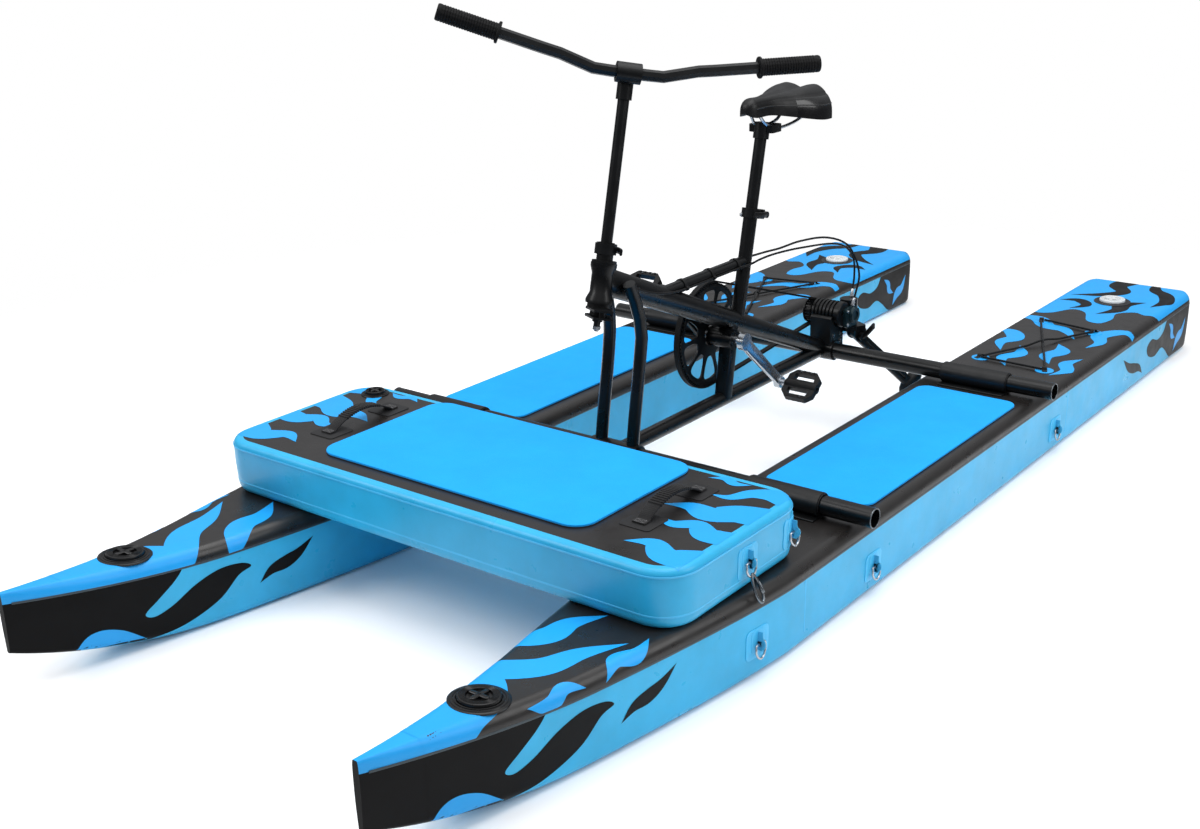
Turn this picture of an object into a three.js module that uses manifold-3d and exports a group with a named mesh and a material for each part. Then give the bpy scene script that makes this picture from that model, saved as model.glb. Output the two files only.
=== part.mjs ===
// Pontoon water bike: two inflatable floats, a strapped-on front platform and a bicycle frame
// on two cross beams, with a belt drive to a steered propeller leg behind the seat.
// Millimetres, +Z up, bows towards -Y. The rider faces -Y, so the rider's left side is +X.
// x 0 is the middle between the floats, z 0 their undersides, y 0 the middle of the length.
import * as THREE from "three";
import { mergeVertices } from "three/addons/utils/BufferGeometryUtils.js";
import Module from "manifold-3d";

const wasm = await Module();
wasm.setup();

// Driving dimensions
const GAP = 0.3; // between pieces that touch
const OVERRUN = 20; // how far a cutting tool passes a face
const SUNK = 1; // how far joined shapes run into each other
const FLOAT = {
  stern: 1488, bow: -1449, taperFrom: -600, // along the boat, from the bottom bracket's station
  middle: 410, halfWidth: 146, height: 154, seam: 127, // middle: side distance from the centre line
  deckInset: 22, keelInset: 18, belly: 3,
  cornerRadius: 45, edgeRadius: 20,
  tipRise: 34, keelRise: 80, riseFrom: -1050, tipHalfWidth: 7,
};
const FLOAT_SHARES = {
  taper: 1.04, taperPower: 1.35, tip: 0.04, tipPower: 6, keelPower: 2.2, deckPower: 1.6,
};
const PAD = { thickness: 5, corner: 28, halfWidth: 114, front: -300, rear: 374, middle: 417 };
const PLATFORM = { setIn: 28, front: -906, rear: -512, height: 104, seamBelow: 12, corner: 68 };
const BEAM = { radius: 18.5, wall: 2, halfLength: 585, front: -376, rear: 433 };
const SLEEVE = { radius: 23, length: 150, middle: 405 };
const DECK = FLOAT.height;
const beamZ = DECK + GAP + SLEEVE.radius; // the bike's own heights, named up, start here
const BIKE_SET = 18; // the bike's own mid-plane lies this far to the rider's left
const LEAN = THREE.MathUtils.degToRad(13.4); // of the steering axis
const SEAT_LEAN = THREE.MathUtils.degToRad(13);
const HEAD = {
  y: -418, up: 312.7, length: 76, bore: 17.5, waist: 21, flare: 27,
  lip: 7, waistFrom: 20, waistTo: 56, crownFrom: 69, crownIn: 2,
};
const STEER_TURN = THREE.MathUtils.degToRad(46); // the bar stands turned, its left end back
const STEER_SHARE = 0.66; // of the bar's turn that reaches the drive leg
const CRANK = { y: 4, up: 136.7, length: 170, turn: THREE.MathUtils.degToRad(45) };
const BELT = { width: 14, thickness: 4.4, plane: -40, pitch: 8 };
const RING_TEETH = 88;
const PULLEY_TEETH = 20;
const PULLEY = { y: 449, up: 83.7 };
const headZ = beamZ + HEAD.up;
const crankZ = beamZ + CRANK.up;
const pulleyZ = beamZ + PULLEY.up;

const v = (x, y, z) => new THREE.Vector3(x, y, z);
const X = v(1, 0, 0);
const Y = v(0, 1, 0);
const Z = v(0, 0, 1);
const TURN = Math.PI * 2;

// Geometry helpers
function bare(geometry) {
  const copy = geometry.clone();
  if (!copy.attributes.normal && copy.index) return copy;
  copy.deleteAttribute("normal");
  copy.deleteAttribute("uv");
  return mergeVertices(copy, 0.0005);
}

function volumeOf(geometry) {
  const p = geometry.attributes.position;
  const index = geometry.index.array;
  const a = v(0, 0, 0);
  const b = v(0, 0, 0);
  const c = v(0, 0, 0);
  let sum = 0;
  for (let i = 0; i < index.length; i += 3) {
    a.fromBufferAttribute(p, index[i]);
    b.fromBufferAttribute(p, index[i + 1]);
    c.fromBufferAttribute(p, index[i + 2]);
    sum += a.dot(b.cross(c));
  }
  return sum / 6;
}

// turns a closed shape's faces outwards
function outward(geometry) {
  const shape = bare(geometry);
  if (volumeOf(shape) > 0) return shape;
  const index = Array.from(shape.index.array);
  for (let i = 0; i < index.length; i += 3) {
    const swap = index[i + 1];
    index[i + 1] = index[i + 2];
    index[i + 2] = swap;
  }
  shape.setIndex(index);
  return shape;
}

function toSolid(geometry) {
  const shape = outward(geometry);
  const mesh = new wasm.Mesh({
    numProp: 3,
    vertProperties: Float32Array.from(shape.attributes.position.array),
    triVerts: Uint32Array.from(shape.index.array),
  });
  return new wasm.Manifold(mesh);
}

function toGeometry(solid) {
  const mesh = solid.getMesh();
  const count = mesh.vertProperties.length / mesh.numProp;
  const corners = new Float32Array(count * 3);
  for (let i = 0; i < count; i += 1) {
    for (let k = 0; k < 3; k += 1) corners[i * 3 + k] = mesh.vertProperties[i * mesh.numProp + k];
  }
  const geometry = new THREE.BufferGeometry();
  geometry.setAttribute("position", new THREE.BufferAttribute(corners, 3));
  geometry.setIndex(Array.from(mesh.triVerts));
  return geometry;
}

const joined = (...shapes) => toGeometry(shapes.map(toSolid).reduce((sum, next) => sum.add(next)));
const cut = (shape, ...tools) =>
  toGeometry(tools.map(toSolid).reduce((left, tool) => left.subtract(tool), toSolid(shape)));

const moved = (shape, x, y, z) => outward(shape).translate(x, y, z);
const mirrored = (shape) => outward(outward(shape).scale(-1, 1, 1));

function turnedAbout(shape, point, axis, angle) {
  const copy = outward(shape);
  copy.translate(-point.x, -point.y, -point.z);
  copy.applyMatrix4(new THREE.Matrix4().makeRotationAxis(axis.clone().normalize(), angle));
  copy.translate(point.x, point.y, point.z);
  return copy;
}

// places a shape drawn about the origin: its z along the axis, its x as near as can be to side
function placed(shape, origin, axis, side = X) {
  const up = axis.clone().normalize();
  const across = side.clone().addScaledVector(up, -side.dot(up)).normalize();
  const frame = new THREE.Matrix4().makeBasis(across, up.clone().cross(across), up);
  frame.setPosition(origin);
  return outward(shape).applyMatrix4(frame);
}

function roundShape(radius, bore = 0) {
  const shape = new THREE.Shape();
  shape.absarc(0, 0, radius, 0, TURN, false);
  if (bore > 0) {
    const hole = new THREE.Path();
    hole.absarc(0, 0, bore, 0, TURN, true);
    shape.holes.push(hole);
  }
  return shape;
}

function ovalShape(halfWide, halfTall) {
  const shape = new THREE.Shape();
  shape.absellipse(0, 0, halfWide, halfTall, 0, TURN, false, 0);
  return shape;
}

function roundedShape(halfWide, halfTall, radius) {
  const shape = new THREE.Shape();
  shape.absarc(halfWide - radius, halfTall - radius, radius, 0, TURN / 4, false);
  shape.absarc(radius - halfWide, halfTall - radius, radius, TURN / 4, TURN / 2, false);
  shape.absarc(radius - halfWide, radius - halfTall, radius, TURN / 2, TURN * 3 / 4, false);
  shape.absarc(halfWide - radius, radius - halfTall, radius, TURN * 3 / 4, TURN, false);
  shape.closePath();
  return shape;
}

const plain = { bevelEnabled: false, steps: 1 };
const slab = (shape, depth, curveSegments = 5) =>
  new THREE.ExtrudeGeometry(shape, { ...plain, depth, curveSegments });

// a straight bar of any section from one point to another
function bar(from, to, shape, curveSegments = 5, side = X) {
  const way = to.clone().sub(from);
  return placed(slab(shape, way.length(), curveSegments), from, way, side);
}

// a tube along a smooth curve through the points
function bent(points, shape, steps, curveSegments = 3) {
  const extrudePath = new THREE.CatmullRomCurve3(points, false, "centripetal");
  return new THREE.ExtrudeGeometry(shape, { bevelEnabled: false, extrudePath, steps, curveSegments });
}

// a turned piece: pairs of radius and height, from the axis back to the axis
function turned(profile, origin, axis, sides = 14) {
  const points = profile.map(([r, h]) => new THREE.Vector2(r, h));
  const lathe = new THREE.LatheGeometry(points, sides);
  lathe.rotateX(TURN / 4);
  return placed(lathe, origin, axis, Math.abs(axis.x) > Math.abs(axis.z) ? Z : X);
}

// a closed skin over a row of loops with equal counts of points
function loft(loops) {
  const count = loops[0].length;
  const corners = [];
  const index = [];
  for (const loop of loops) {
    for (const p of loop) corners.push(p.x, p.y, p.z);
  }
  for (let i = 0; i + 1 < loops.length; i += 1) {
    for (let k = 0; k < count; k += 1) {
      const next = (k + 1) % count;
      const a = i * count + k;
      const b = i * count + next;
      index.push(a, b, b + count, a, b + count, a + count);
    }
  }
  for (const [loop, first] of [[loops[0], 0], [loops.at(-1), (loops.length - 1) * count]]) {
    const middle = loop.reduce((sum, p) => sum.add(p), v(0, 0, 0)).divideScalar(count);
    const hub = corners.length / 3;
    corners.push(middle.x, middle.y, middle.z);
    for (let k = 0; k < count; k += 1) {
      const next = (k + 1) % count;
      if (first === 0) index.push(hub, first + next, first + k);
      else index.push(hub, first + k, first + next);
    }
  }
  const geometry = new THREE.BufferGeometry();
  geometry.setAttribute("position", new THREE.Float32BufferAttribute(corners, 3));
  geometry.setIndex(index);
  return outward(geometry);
}

// Colours and finishes
const finish = (color, roughness, metalness = 0) => ({ color, roughness, metalness });
const BLUE_SKIN = finish(0x46bdf0, 0.45);
const PAD_FOAM = finish(0x55c4fa, 0.8);
const BLACK_SKIN = finish(0x2b2b2d, 0.55);
const FRAME_PAINT = finish(0x17181a, 0.35);
const SLEEVE_RUBBER = finish(0x1c1c1e, 0.7);
const BLACK_METAL = finish(0x1e1f22, 0.4, 0.6);
const BRIGHT_METAL = finish(0xb9bcc0, 0.35, 0.9);
const BLACK_PLASTIC = finish(0x1b1b1d, 0.6);
const PALE_PLASTIC = finish(0xd9dcdd, 0.5);
const GRIP_RUBBER = finish(0x171718, 0.85);
const SADDLE_SKIN = finish(0x161617, 0.65);
const TEAL_METAL = finish(0x24373b, 0.45, 0.5);
const CORD = finish(0x15202a, 0.8);
const WEBBING = finish(0x1d1d20, 0.9);

const boat = new THREE.Group();
const bike = new THREE.Group();
bike.position.x = BIKE_SET;
boat.add(bike);

function piece(name, geometry, look, parent = boat) {
  const mesh = new THREE.Mesh(outward(geometry), new THREE.MeshStandardMaterial(look));
  mesh.name = name;
  parent.add(mesh);
}

// Floats
// half of a float's section, from the keel up: inset from the widest line, and height
function sideOf(base, top, seam, deckInset, keelInset) {
  const points = [];
  const steps = 2;
  for (let i = 0; i <= steps; i += 1) {
    const angle = (i / steps) * TURN / 4;
    points.push([keelInset * (1 - Math.sin(angle)) + FLOAT.belly, base + keelInset * (1 - Math.cos(angle))]);
  }
  points.push([0, (base + seam) / 2]);
  points.push([FLOAT.belly / 3, seam]);
  for (let i = 1; i <= steps; i += 1) {
    const angle = (i / steps) * TURN / 4;
    points.push([deckInset * (1 - Math.cos(angle)), seam + (top - seam) * Math.sin(angle)]);
  }
  return points;
}

function floatLoop(y) {
  const bowShare = THREE.MathUtils.clamp((FLOAT.taperFrom - y) / (FLOAT.taperFrom - FLOAT.bow), 0, 1);
  const riseShare = THREE.MathUtils.clamp((FLOAT.riseFrom - y) / (FLOAT.riseFrom - FLOAT.bow), 0, 1);
  const narrowing = FLOAT_SHARES.taper * bowShare ** FLOAT_SHARES.taperPower
    - FLOAT_SHARES.tip * bowShare ** FLOAT_SHARES.tipPower;
  let half = THREE.MathUtils.lerp(FLOAT.halfWidth, FLOAT.tipHalfWidth, Math.min(1, narrowing));
  let base = FLOAT.keelRise * riseShare ** FLOAT_SHARES.keelPower;
  let top = FLOAT.height + FLOAT.tipRise * riseShare ** FLOAT_SHARES.deckPower;
  const fromStern = FLOAT.stern - y;
  if (fromStern < FLOAT.cornerRadius) {
    const short = FLOAT.cornerRadius - fromStern;
    half -= FLOAT.cornerRadius - Math.sqrt(FLOAT.cornerRadius ** 2 - short ** 2);
  }
  if (fromStern < FLOAT.edgeRadius) {
    const short = FLOAT.edgeRadius - fromStern;
    const drop = FLOAT.edgeRadius - Math.sqrt(FLOAT.edgeRadius ** 2 - short ** 2);
    base += drop;
    top -= drop;
  }
  const squeeze = Math.min(1, half / (2 * FLOAT.deckInset));
  const seamShare = FLOAT.seam / FLOAT.height;
  const seam = base + (top - base) * seamShare;
  const side = sideOf(base, top, seam, FLOAT.deckInset * squeeze, FLOAT.keelInset * squeeze);
  const right = side.map(([inset, z]) => v(FLOAT.middle + half - Math.min(inset, half), y, z));
  const left = side.map(([inset, z]) => v(FLOAT.middle - half + Math.min(inset, half), y, z)).reverse();
  return [...right, ...left];
}

const sternShares = [0, 0.07, 0.22, 0.5, 1]; // of the stern's corner radius
const bowShares = [0, 0.14, 0.26, 0.38, 0.5, 0.61, 0.71, 0.8, 0.87, 0.93, 0.97, 1]; // of the taper
const floatStations = [
  ...sternShares.map((share) => FLOAT.stern - share * FLOAT.cornerRadius),
  FLOAT.taperFrom / 2 + FLOAT.stern / 2,
  ...bowShares.map((share) => THREE.MathUtils.lerp(FLOAT.taperFrom, FLOAT.bow, share)),
];
const floatHull = loft(floatStations.map(floatLoop));

// Deck pads
const deckPad = moved(
  slab(roundedShape(PAD.halfWidth, (PAD.rear - PAD.front) / 2, PAD.corner), PAD.thickness, 3),
  PAD.middle, (PAD.rear + PAD.front) / 2, DECK + GAP,
);
piece("deck_pad_left", deckPad, PAD_FOAM);
piece("deck_pad_right", mirrored(deckPad), PAD_FOAM);

// Front platform, an inflated slab across both decks
const platformHalf = FLOAT.middle + FLOAT.halfWidth - PLATFORM.setIn; // from the centre line
const platformLength = PLATFORM.rear - PLATFORM.front;
const platformY = (PLATFORM.rear + PLATFORM.front) / 2;
const platformTop = DECK + GAP + PLATFORM.height;
function platformLoop([inset, z]) {
  const shape = roundedShape(platformHalf - inset, platformLength / 2 - inset, PLATFORM.corner - inset);
  return shape.getPoints(3).slice(0, -1).map((p) => v(p.x, platformY + p.y, z));
}
const platformSide = sideOf(
  DECK + GAP, platformTop, platformTop - PLATFORM.seamBelow, PLATFORM.seamBelow, FLOAT.keelInset,
);
const PLATFORM_PAD = { sideStrip: 218, frontStrip: 54, rearStrip: 10, corner: 40 };
const padHalfWidth = platformHalf - PLATFORM_PAD.sideStrip;
const padHalfLength = (platformLength - PLATFORM_PAD.frontStrip - PLATFORM_PAD.rearStrip) / 2;
const platformPadY = platformY + (PLATFORM_PAD.frontStrip - PLATFORM_PAD.rearStrip) / 2;
piece("platform_pad", moved(
  slab(roundedShape(padHalfWidth, padHalfLength, PLATFORM_PAD.corner), PAD.thickness, 3),
  0, platformPadY, platformTop + GAP,
), PAD_FOAM);

// Valves: a flanged seat let into the deck's skin, and a cap that turns in it
const VALVE = {
  flange: 46, flangeHeight: 4, capRadius: 32, capHeight: 9, barHeight: 5, barWidth: 8,
  fromBow: 236, fromStern: 221, fromPlatformSide: 68, fromPlatformRear: 46,
};
const VALVE_SHARES = { rim: 0.94, lip: 0.8, well: 0.76, grip: 1.5, onPlatform: 0.62 };
const bowValveY = FLOAT.bow + VALVE.fromBow;
const sternValveY = FLOAT.stern - VALVE.fromStern;
const platformValveX = VALVE.fromPlatformSide - platformHalf;
const VALVE_PLACES = {
  valve_cap_bow_left: v(FLOAT.middle, bowValveY, DECK),
  valve_cap_bow_right: v(-FLOAT.middle, bowValveY, DECK),
  valve_cap_stern_left: v(FLOAT.middle, sternValveY, DECK),
  valve_cap_stern_right: v(-FLOAT.middle, sternValveY, DECK),
  valve_cap_platform: v(platformValveX, PLATFORM.rear - VALVE.fromPlatformRear, platformTop),
};
const bowRiseShare = (FLOAT.riseFrom - bowValveY) / (FLOAT.riseFrom - FLOAT.bow);
const bowDeckRise = FLOAT.tipRise * bowRiseShare ** FLOAT_SHARES.deckPower;
const bowDeckSlope = Math.atan(
  bowDeckRise * FLOAT_SHARES.deckPower / bowRiseShare / (FLOAT.riseFrom - FLOAT.bow),
);
const seatProfile = (k) => [
  [0, -VALVE.flangeHeight], [VALVE.flange * k, -VALVE.flangeHeight],
  [VALVE.flange * k, VALVE.flangeHeight / 2], [0, VALVE.flangeHeight / 2],
];
const capProfile = (k) => [
  [0, VALVE.flangeHeight / 2 + GAP], [VALVE.capRadius * k, VALVE.flangeHeight / 2 + GAP],
  [VALVE.capRadius * VALVE_SHARES.rim * k, VALVE.capHeight],
  [VALVE.capRadius * VALVE_SHARES.lip * k, VALVE.capHeight],
  [VALVE.capRadius * VALVE_SHARES.well * k, VALVE.flangeHeight], [0, VALVE.flangeHeight],
];
function valveFrame(name, shape) {
  const place = VALVE_PLACES[name];
  const onBow = name.includes("bow");
  const axis = onBow ? v(0, Math.sin(bowDeckSlope), Math.cos(bowDeckSlope)) : Z;
  const lift = onBow ? bowDeckRise : 0;
  return placed(shape, v(place.x, place.y, place.z + lift), axis);
}
function valveSeat(name) {
  const k = name.includes("platform") ? VALVE_SHARES.onPlatform : 1;
  return valveFrame(name, turned(seatProfile(k), v(0, 0, 0), Z));
}
function valveCap(name) {
  const k = name.includes("platform") ? VALVE_SHARES.onPlatform : 1;
  const grip = new THREE.BoxGeometry(
    VALVE.capRadius * VALVE_SHARES.grip * k, VALVE.barWidth * k, VALVE.barHeight,
  );
  const cap = joined(
    turned(capProfile(k), v(0, 0, 0), Z), moved(grip, 0, 0, VALVE.flangeHeight + VALVE.barHeight / 2),
  );
  return valveFrame(name, cap);
}
const valveNames = Object.keys(VALVE_PLACES);
const isPale = (name) => name.includes("stern");
for (const name of valveNames) piece(name, valveCap(name), isPale(name) ? PALE_PLASTIC : BLACK_PLASTIC);

// Webbing: carrying handles on the platform, cord anchors on the sterns, ring tabs on the sides
const HANDLE = { fromPad: 58, back: 22, halfLength: 75, width: 25, thickness: 2.6, rise: 24, patch: 62 };
const handleBowShare = 0.8;
const handleX = padHalfWidth + HANDLE.fromPad;
const handleY = platformY + HANDLE.back;
const PATCH = { thickness: 1.6, corner: 6, sunk: 4 };
// draws in the y and z plane and runs across x
const across = (shape, width, x, curveSegments = 8) =>
  placed(slab(shape, width, curveSegments), v(x - width / 2, 0, 0), X, Y);

const patchTop = platformTop + GAP + PATCH.thickness;
function handleStrap() {
  const half = HANDLE.halfLength;
  const middle = handleY;
  const foot = HANDLE.patch / 4;
  const steps = 8;
  const rise = (share) => HANDLE.rise * Math.sin(share * Math.PI) ** handleBowShare;
  const shape = new THREE.Shape();
  shape.moveTo(middle - half - foot, patchTop + GAP);
  const lower = [];
  for (let i = 0; i <= steps; i += 1) {
    const share = i / steps;
    lower.push([middle - half + 2 * half * share, patchTop + GAP + rise(share)]);
  }
  for (const [y, z] of lower) shape.lineTo(y, z);
  shape.lineTo(middle + half + foot, patchTop + GAP);
  shape.lineTo(middle + half + foot, patchTop + GAP + HANDLE.thickness);
  for (const [y, z] of lower.reverse()) shape.lineTo(y, z + HANDLE.thickness);
  shape.lineTo(middle - half - foot, patchTop + GAP + HANDLE.thickness);
  shape.closePath();
  return across(shape, HANDLE.width, 0);
}
const strap = handleStrap();
piece("platform_handle_left", moved(strap, handleX, 0, 0), WEBBING);
piece("platform_handle_right", moved(strap, -handleX, 0, 0), WEBBING);

// a patch's outer face stands its thickness above the skin; the rest is sunk in it
const squarePatch = (half) => moved(
  slab(roundedShape(half, half, PATCH.corner), PATCH.thickness + PATCH.sunk, 1), 0, 0, -PATCH.sunk,
);
const handlePatches = [handleX, -handleX].flatMap((x) => [-HANDLE.halfLength, HANDLE.halfLength].map((y) =>
  moved(squarePatch(HANDLE.patch / 2), x, handleY + y, platformTop + GAP)));

// Bungee cords on the sterns, from anchor to anchor
const CORD_RADIUS = 3;
const ANCHOR = { length: 34, width: 20, height: 2.4, corner: 4 };
// each anchor's place: out from the float's middle line, and back from the rear beam
const ANCHOR_PLACES = {
  innerRear: [-82, 562], outerRear: [62, 535], outerFront: [76, 192], innerFront: [-84, 203],
};
const ANCHORS = Object.fromEntries(Object.entries(ANCHOR_PLACES).map(([name, [out, back]]) =>
  [name, v(FLOAT.middle + out, BEAM.rear + back, DECK)]));
const anchorBlock = (spot) => moved(
  slab(roundedShape(ANCHOR.width / 2, ANCHOR.length / 2, ANCHOR.corner), ANCHOR.height + PATCH.sunk, 1),
  spot.x, spot.y, DECK - PATCH.sunk,
);
const cordZ = ANCHOR.height + GAP * 2 + CORD_RADIUS;
const cordShares = [0, 0.12, 0.42, 0.5, 0.58, 0.88, 1];
function cordBetween(from, to, hump, radius) {
  const points = cordShares.map((share, i) => {
    const p = from.clone().lerp(to, share);
    p.z += cordZ + (i >= 2 && i <= 4 ? hump : 0);
    return p;
  });
  return bent(points, roundShape(radius), 6, 3);
}
const cordHump = CORD_RADIUS * 2 + GAP * 3;
// the cord runs from anchor to anchor and crosses itself once
const cordLoop = (radius) => joined(
  cordBetween(ANCHORS.innerRear, ANCHORS.outerRear, 0, radius),
  cordBetween(ANCHORS.innerFront, ANCHORS.outerFront, 0, radius),
  cordBetween(ANCHORS.innerRear, ANCHORS.outerFront, 0, radius),
  cordBetween(ANCHORS.outerRear, ANCHORS.innerFront, cordHump, radius),
);
const anchors = Object.values(ANCHORS).map(anchorBlock);
const bungee = cordLoop(CORD_RADIUS);
piece("bungee_cord_left", bungee, CORD);
piece("bungee_cord_right", mirrored(bungee), CORD);

// Rings on the sides: a patch, a tab with the ring through it, and the snap hook to the platform
const RING = {
  radius: 16, rod: 2.6, tabWidth: 9, tabReach: 13, tabHeight: 14, patch: 58, eyeSlack: 2, sink: 0.2,
  tieBack: 10, beamBack: 58, rearBack: 101, platformForward: 48, low: 52, high: 62, platformRise: 50.7,
};
const HOOK = { halfWidth: 11, rod: 3 };
const hookBowShare = 0.7;
const tieY = platformY + RING.tieBack;
const platformRingZ = DECK + GAP + RING.platformRise;
const SIDE_RINGS = [
  { y: tieY, z: RING.high, side: "float", up: true, hooked: true },
  { y: BEAM.front + RING.beamBack, z: RING.low, side: "float", up: false },
  { y: BEAM.rear + RING.rearBack, z: RING.low, side: "float", up: false },
  { y: tieY, z: platformRingZ, side: "platform", up: false, hooked: true },
  { y: PLATFORM.rear - RING.platformForward, z: platformRingZ, side: "platform", up: false },
];
function sideX(ring) {
  if (ring.side === "platform") return platformHalf - FLOAT.belly / 3;
  const loop = floatLoop(ring.y);
  return Math.max(...loop.map((p) => p.x));
}
function ringTab(ring) {
  const face = sideX(ring);
  const patch = placed(squarePatch(RING.patch / 2), v(face, ring.y, ring.z), X, Y);
  const shape = roundedShape(RING.tabReach / 2, RING.tabHeight / 2, RING.rod);
  const hole = new THREE.Path();
  hole.absarc(0, 0, RING.rod + RING.eyeSlack, 0, TURN, true);
  if (ring.hooked) shape.holes.push(hole);
  const tab = slab(shape, RING.tabWidth, 3);
  const tabX = face + PATCH.thickness + RING.tabReach / 2;
  return joined(patch, placed(tab, v(tabX - RING.sink, ring.y - RING.tabWidth / 2, ring.z), Y, X));
}
function ringPlace(ring) {
  const x = sideX(ring) + PATCH.thickness + RING.tabReach / 2 - RING.sink;
  return v(x, ring.y, ring.z + (ring.up ? RING.radius : -RING.radius));
}
const ringLoop = (ring) => {
  const torus = new THREE.TorusGeometry(RING.radius, RING.rod, 4, 12);
  return placed(torus, ringPlace(ring), X, Y);
};
const lowerEye = ringPlace(SIDE_RINGS[0]).add(v(HOOK.rod, 0, RING.radius));
const upperEye = ringPlace(SIDE_RINGS[3]).add(v(HOOK.rod * 1.5, 0, -RING.radius));
const linkGap = HOOK.rod;
const hookWay = upperEye.clone().sub(lowerEye);
function snapHook() {
  const half = hookWay.length() / 2 + linkGap;
  const torus = new THREE.TorusGeometry(1, HOOK.rod, 4, 14);
  const p = torus.attributes.position;
  for (let i = 0; i < p.count; i += 1) {
    const angle = Math.atan2(p.getY(i), p.getX(i));
    const reach = v(Math.cos(angle), Math.sin(angle), 0);
    const offset = v(p.getX(i), p.getY(i), p.getZ(i)).sub(reach);
    const bow = Math.sign(reach.x) * Math.abs(reach.x) ** hookBowShare;
    p.setXYZ(i, bow * HOOK.halfWidth + offset.x, reach.y * half + offset.y, offset.z);
  }
  const middle = lowerEye.clone().add(upperEye).multiplyScalar(0.5);
  return placed(torus, middle, v(hookWay.z, 0, -hookWay.x), Y);
}
// the hook that ties the platform down, with the ring of the float and that of the platform on it
const tieDown = joined(ringLoop(SIDE_RINGS[0]), ringLoop(SIDE_RINGS[3]), snapHook());
piece("tie_hook_left", tieDown, BLACK_METAL);
piece("tie_hook_right", mirrored(tieDown), BLACK_METAL);
const tabsOf = (side) => SIDE_RINGS.filter((ring) => ring.side === side).map(ringTab);
const floatSeats = ["valve_cap_bow_left", "valve_cap_stern_left"].map(valveSeat);
const floatBody = joined(floatHull, ...floatSeats, ...anchors, ...tabsOf("float"));
piece("float_left", floatBody, BLUE_SKIN);
piece("float_right", mirrored(floatBody), BLUE_SKIN);
const platformTabs = tabsOf("platform");
piece("platform", joined(
  loft(platformSide.map(platformLoop)), valveSeat("valve_cap_platform"),
  ...handlePatches, ...platformTabs, ...platformTabs.map(mirrored),
), BLUE_SKIN);

// Cross beams and the sleeves that hold them on the decks
const beamRod = (y, radius, from, to) => bar(v(from, y, beamZ), v(to, y, beamZ), roundShape(radius), 8, Z);
for (const [name, y] of [["front_beam", BEAM.front], ["rear_beam", BEAM.rear]]) {
  const tube = roundShape(BEAM.radius, BEAM.radius - BEAM.wall);
  piece(name, bar(v(-BEAM.halfLength, y, beamZ), v(BEAM.halfLength, y, beamZ), tube, 8, Z), FRAME_PAINT);
}
const SKIRT = { width: 66, thickness: 3, corner: 1.4 };
function sleeve(y) {
  const tube = beamRod(y, SLEEVE.radius, -SLEEVE.length / 2, SLEEVE.length / 2);
  const foot = across(roundedShape(SKIRT.width / 2, SKIRT.thickness / 2, SKIRT.corner), SLEEVE.length, 0, 2);
  const skirt = moved(foot, 0, y, DECK + GAP + SKIRT.thickness / 2);
  const bore = beamRod(y, BEAM.radius + GAP, -SLEEVE.length, SLEEVE.length);
  return moved(cut(joined(tube, skirt), bore), SLEEVE.middle, 0, 0);
}
for (const [end, y] of [["front", BEAM.front], ["rear", BEAM.rear]]) {
  piece(`${end}_sleeve_left`, sleeve(y), SLEEVE_RUBBER);
  piece(`${end}_sleeve_right`, mirrored(sleeve(y)), SLEEVE_RUBBER);
}

// Bike frame. Everything from here is drawn about the bike's own mid-plane, x 0
const COLLAR = { radius: 23.5, frontHalf: 56, rearHalf: 34 };
const MAIN = { headUp: 46, headTall: 27, headWide: 20, rearTall: 18, rearWide: 16 };
const mainShares = [0.013, 0.04, 0.3, 0.65, 1];
const mainHead = v(0, HEAD.y, headZ + MAIN.headUp);
const mainRear = v(0, BEAM.rear, beamZ);
const LOWER_RADIUS = 16;
const TOP = { radius: 12, up: 286.2, from: -262, to: 90 };
const topZ = beamZ + TOP.up;
const SEAT = {
  footY: 60, up: 170.7, radius: 15, bore: 13, length: 230, below: 14,
  postRadius: 12.7, postOut: 172, postIn: 110,
};
const STRUT = { topY: 34, up: 174.7, footY: 5, halfWide: 16, halfLong: 15 };
const SHELL = { radius: 21, halfLength: 30, bore: 8.8 };
const LEG = { radius: 12.5, footX: 38, tall: 342.7, belly: 38 };
// along the leg: shares of its height, of its belly and of its lean towards the main tube
const LEG_SHARES = [
  [0, 0, 0], [0.2705, 0.395, 0], [0.533, 0.816, 0], [0.723, 1, 0], [0.8775, 0.71, 0.808], [1, 0.21, 1],
];
const legTopX = MAIN.headWide + LEG.radius + GAP;
const HEAD_AXIS = v(0, Math.sin(LEAN), Math.cos(LEAN));
const HEAD_FOOT = v(0, HEAD.y, headZ);
const SEAT_AXIS = v(0, Math.sin(SEAT_LEAN), Math.cos(SEAT_LEAN));
const SEAT_FOOT = v(0, SEAT.footY, beamZ + SEAT.up);

function collar(y, half) {
  const bore = beamRod(y, BEAM.radius + GAP, -half * 2, half * 2);
  return cut(beamRod(y, COLLAR.radius, -half, half), bore);
}
const collarTool = (y) => beamRod(y, COLLAR.radius + GAP, -COLLAR.frontHalf * 2, COLLAR.frontHalf * 2);

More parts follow.
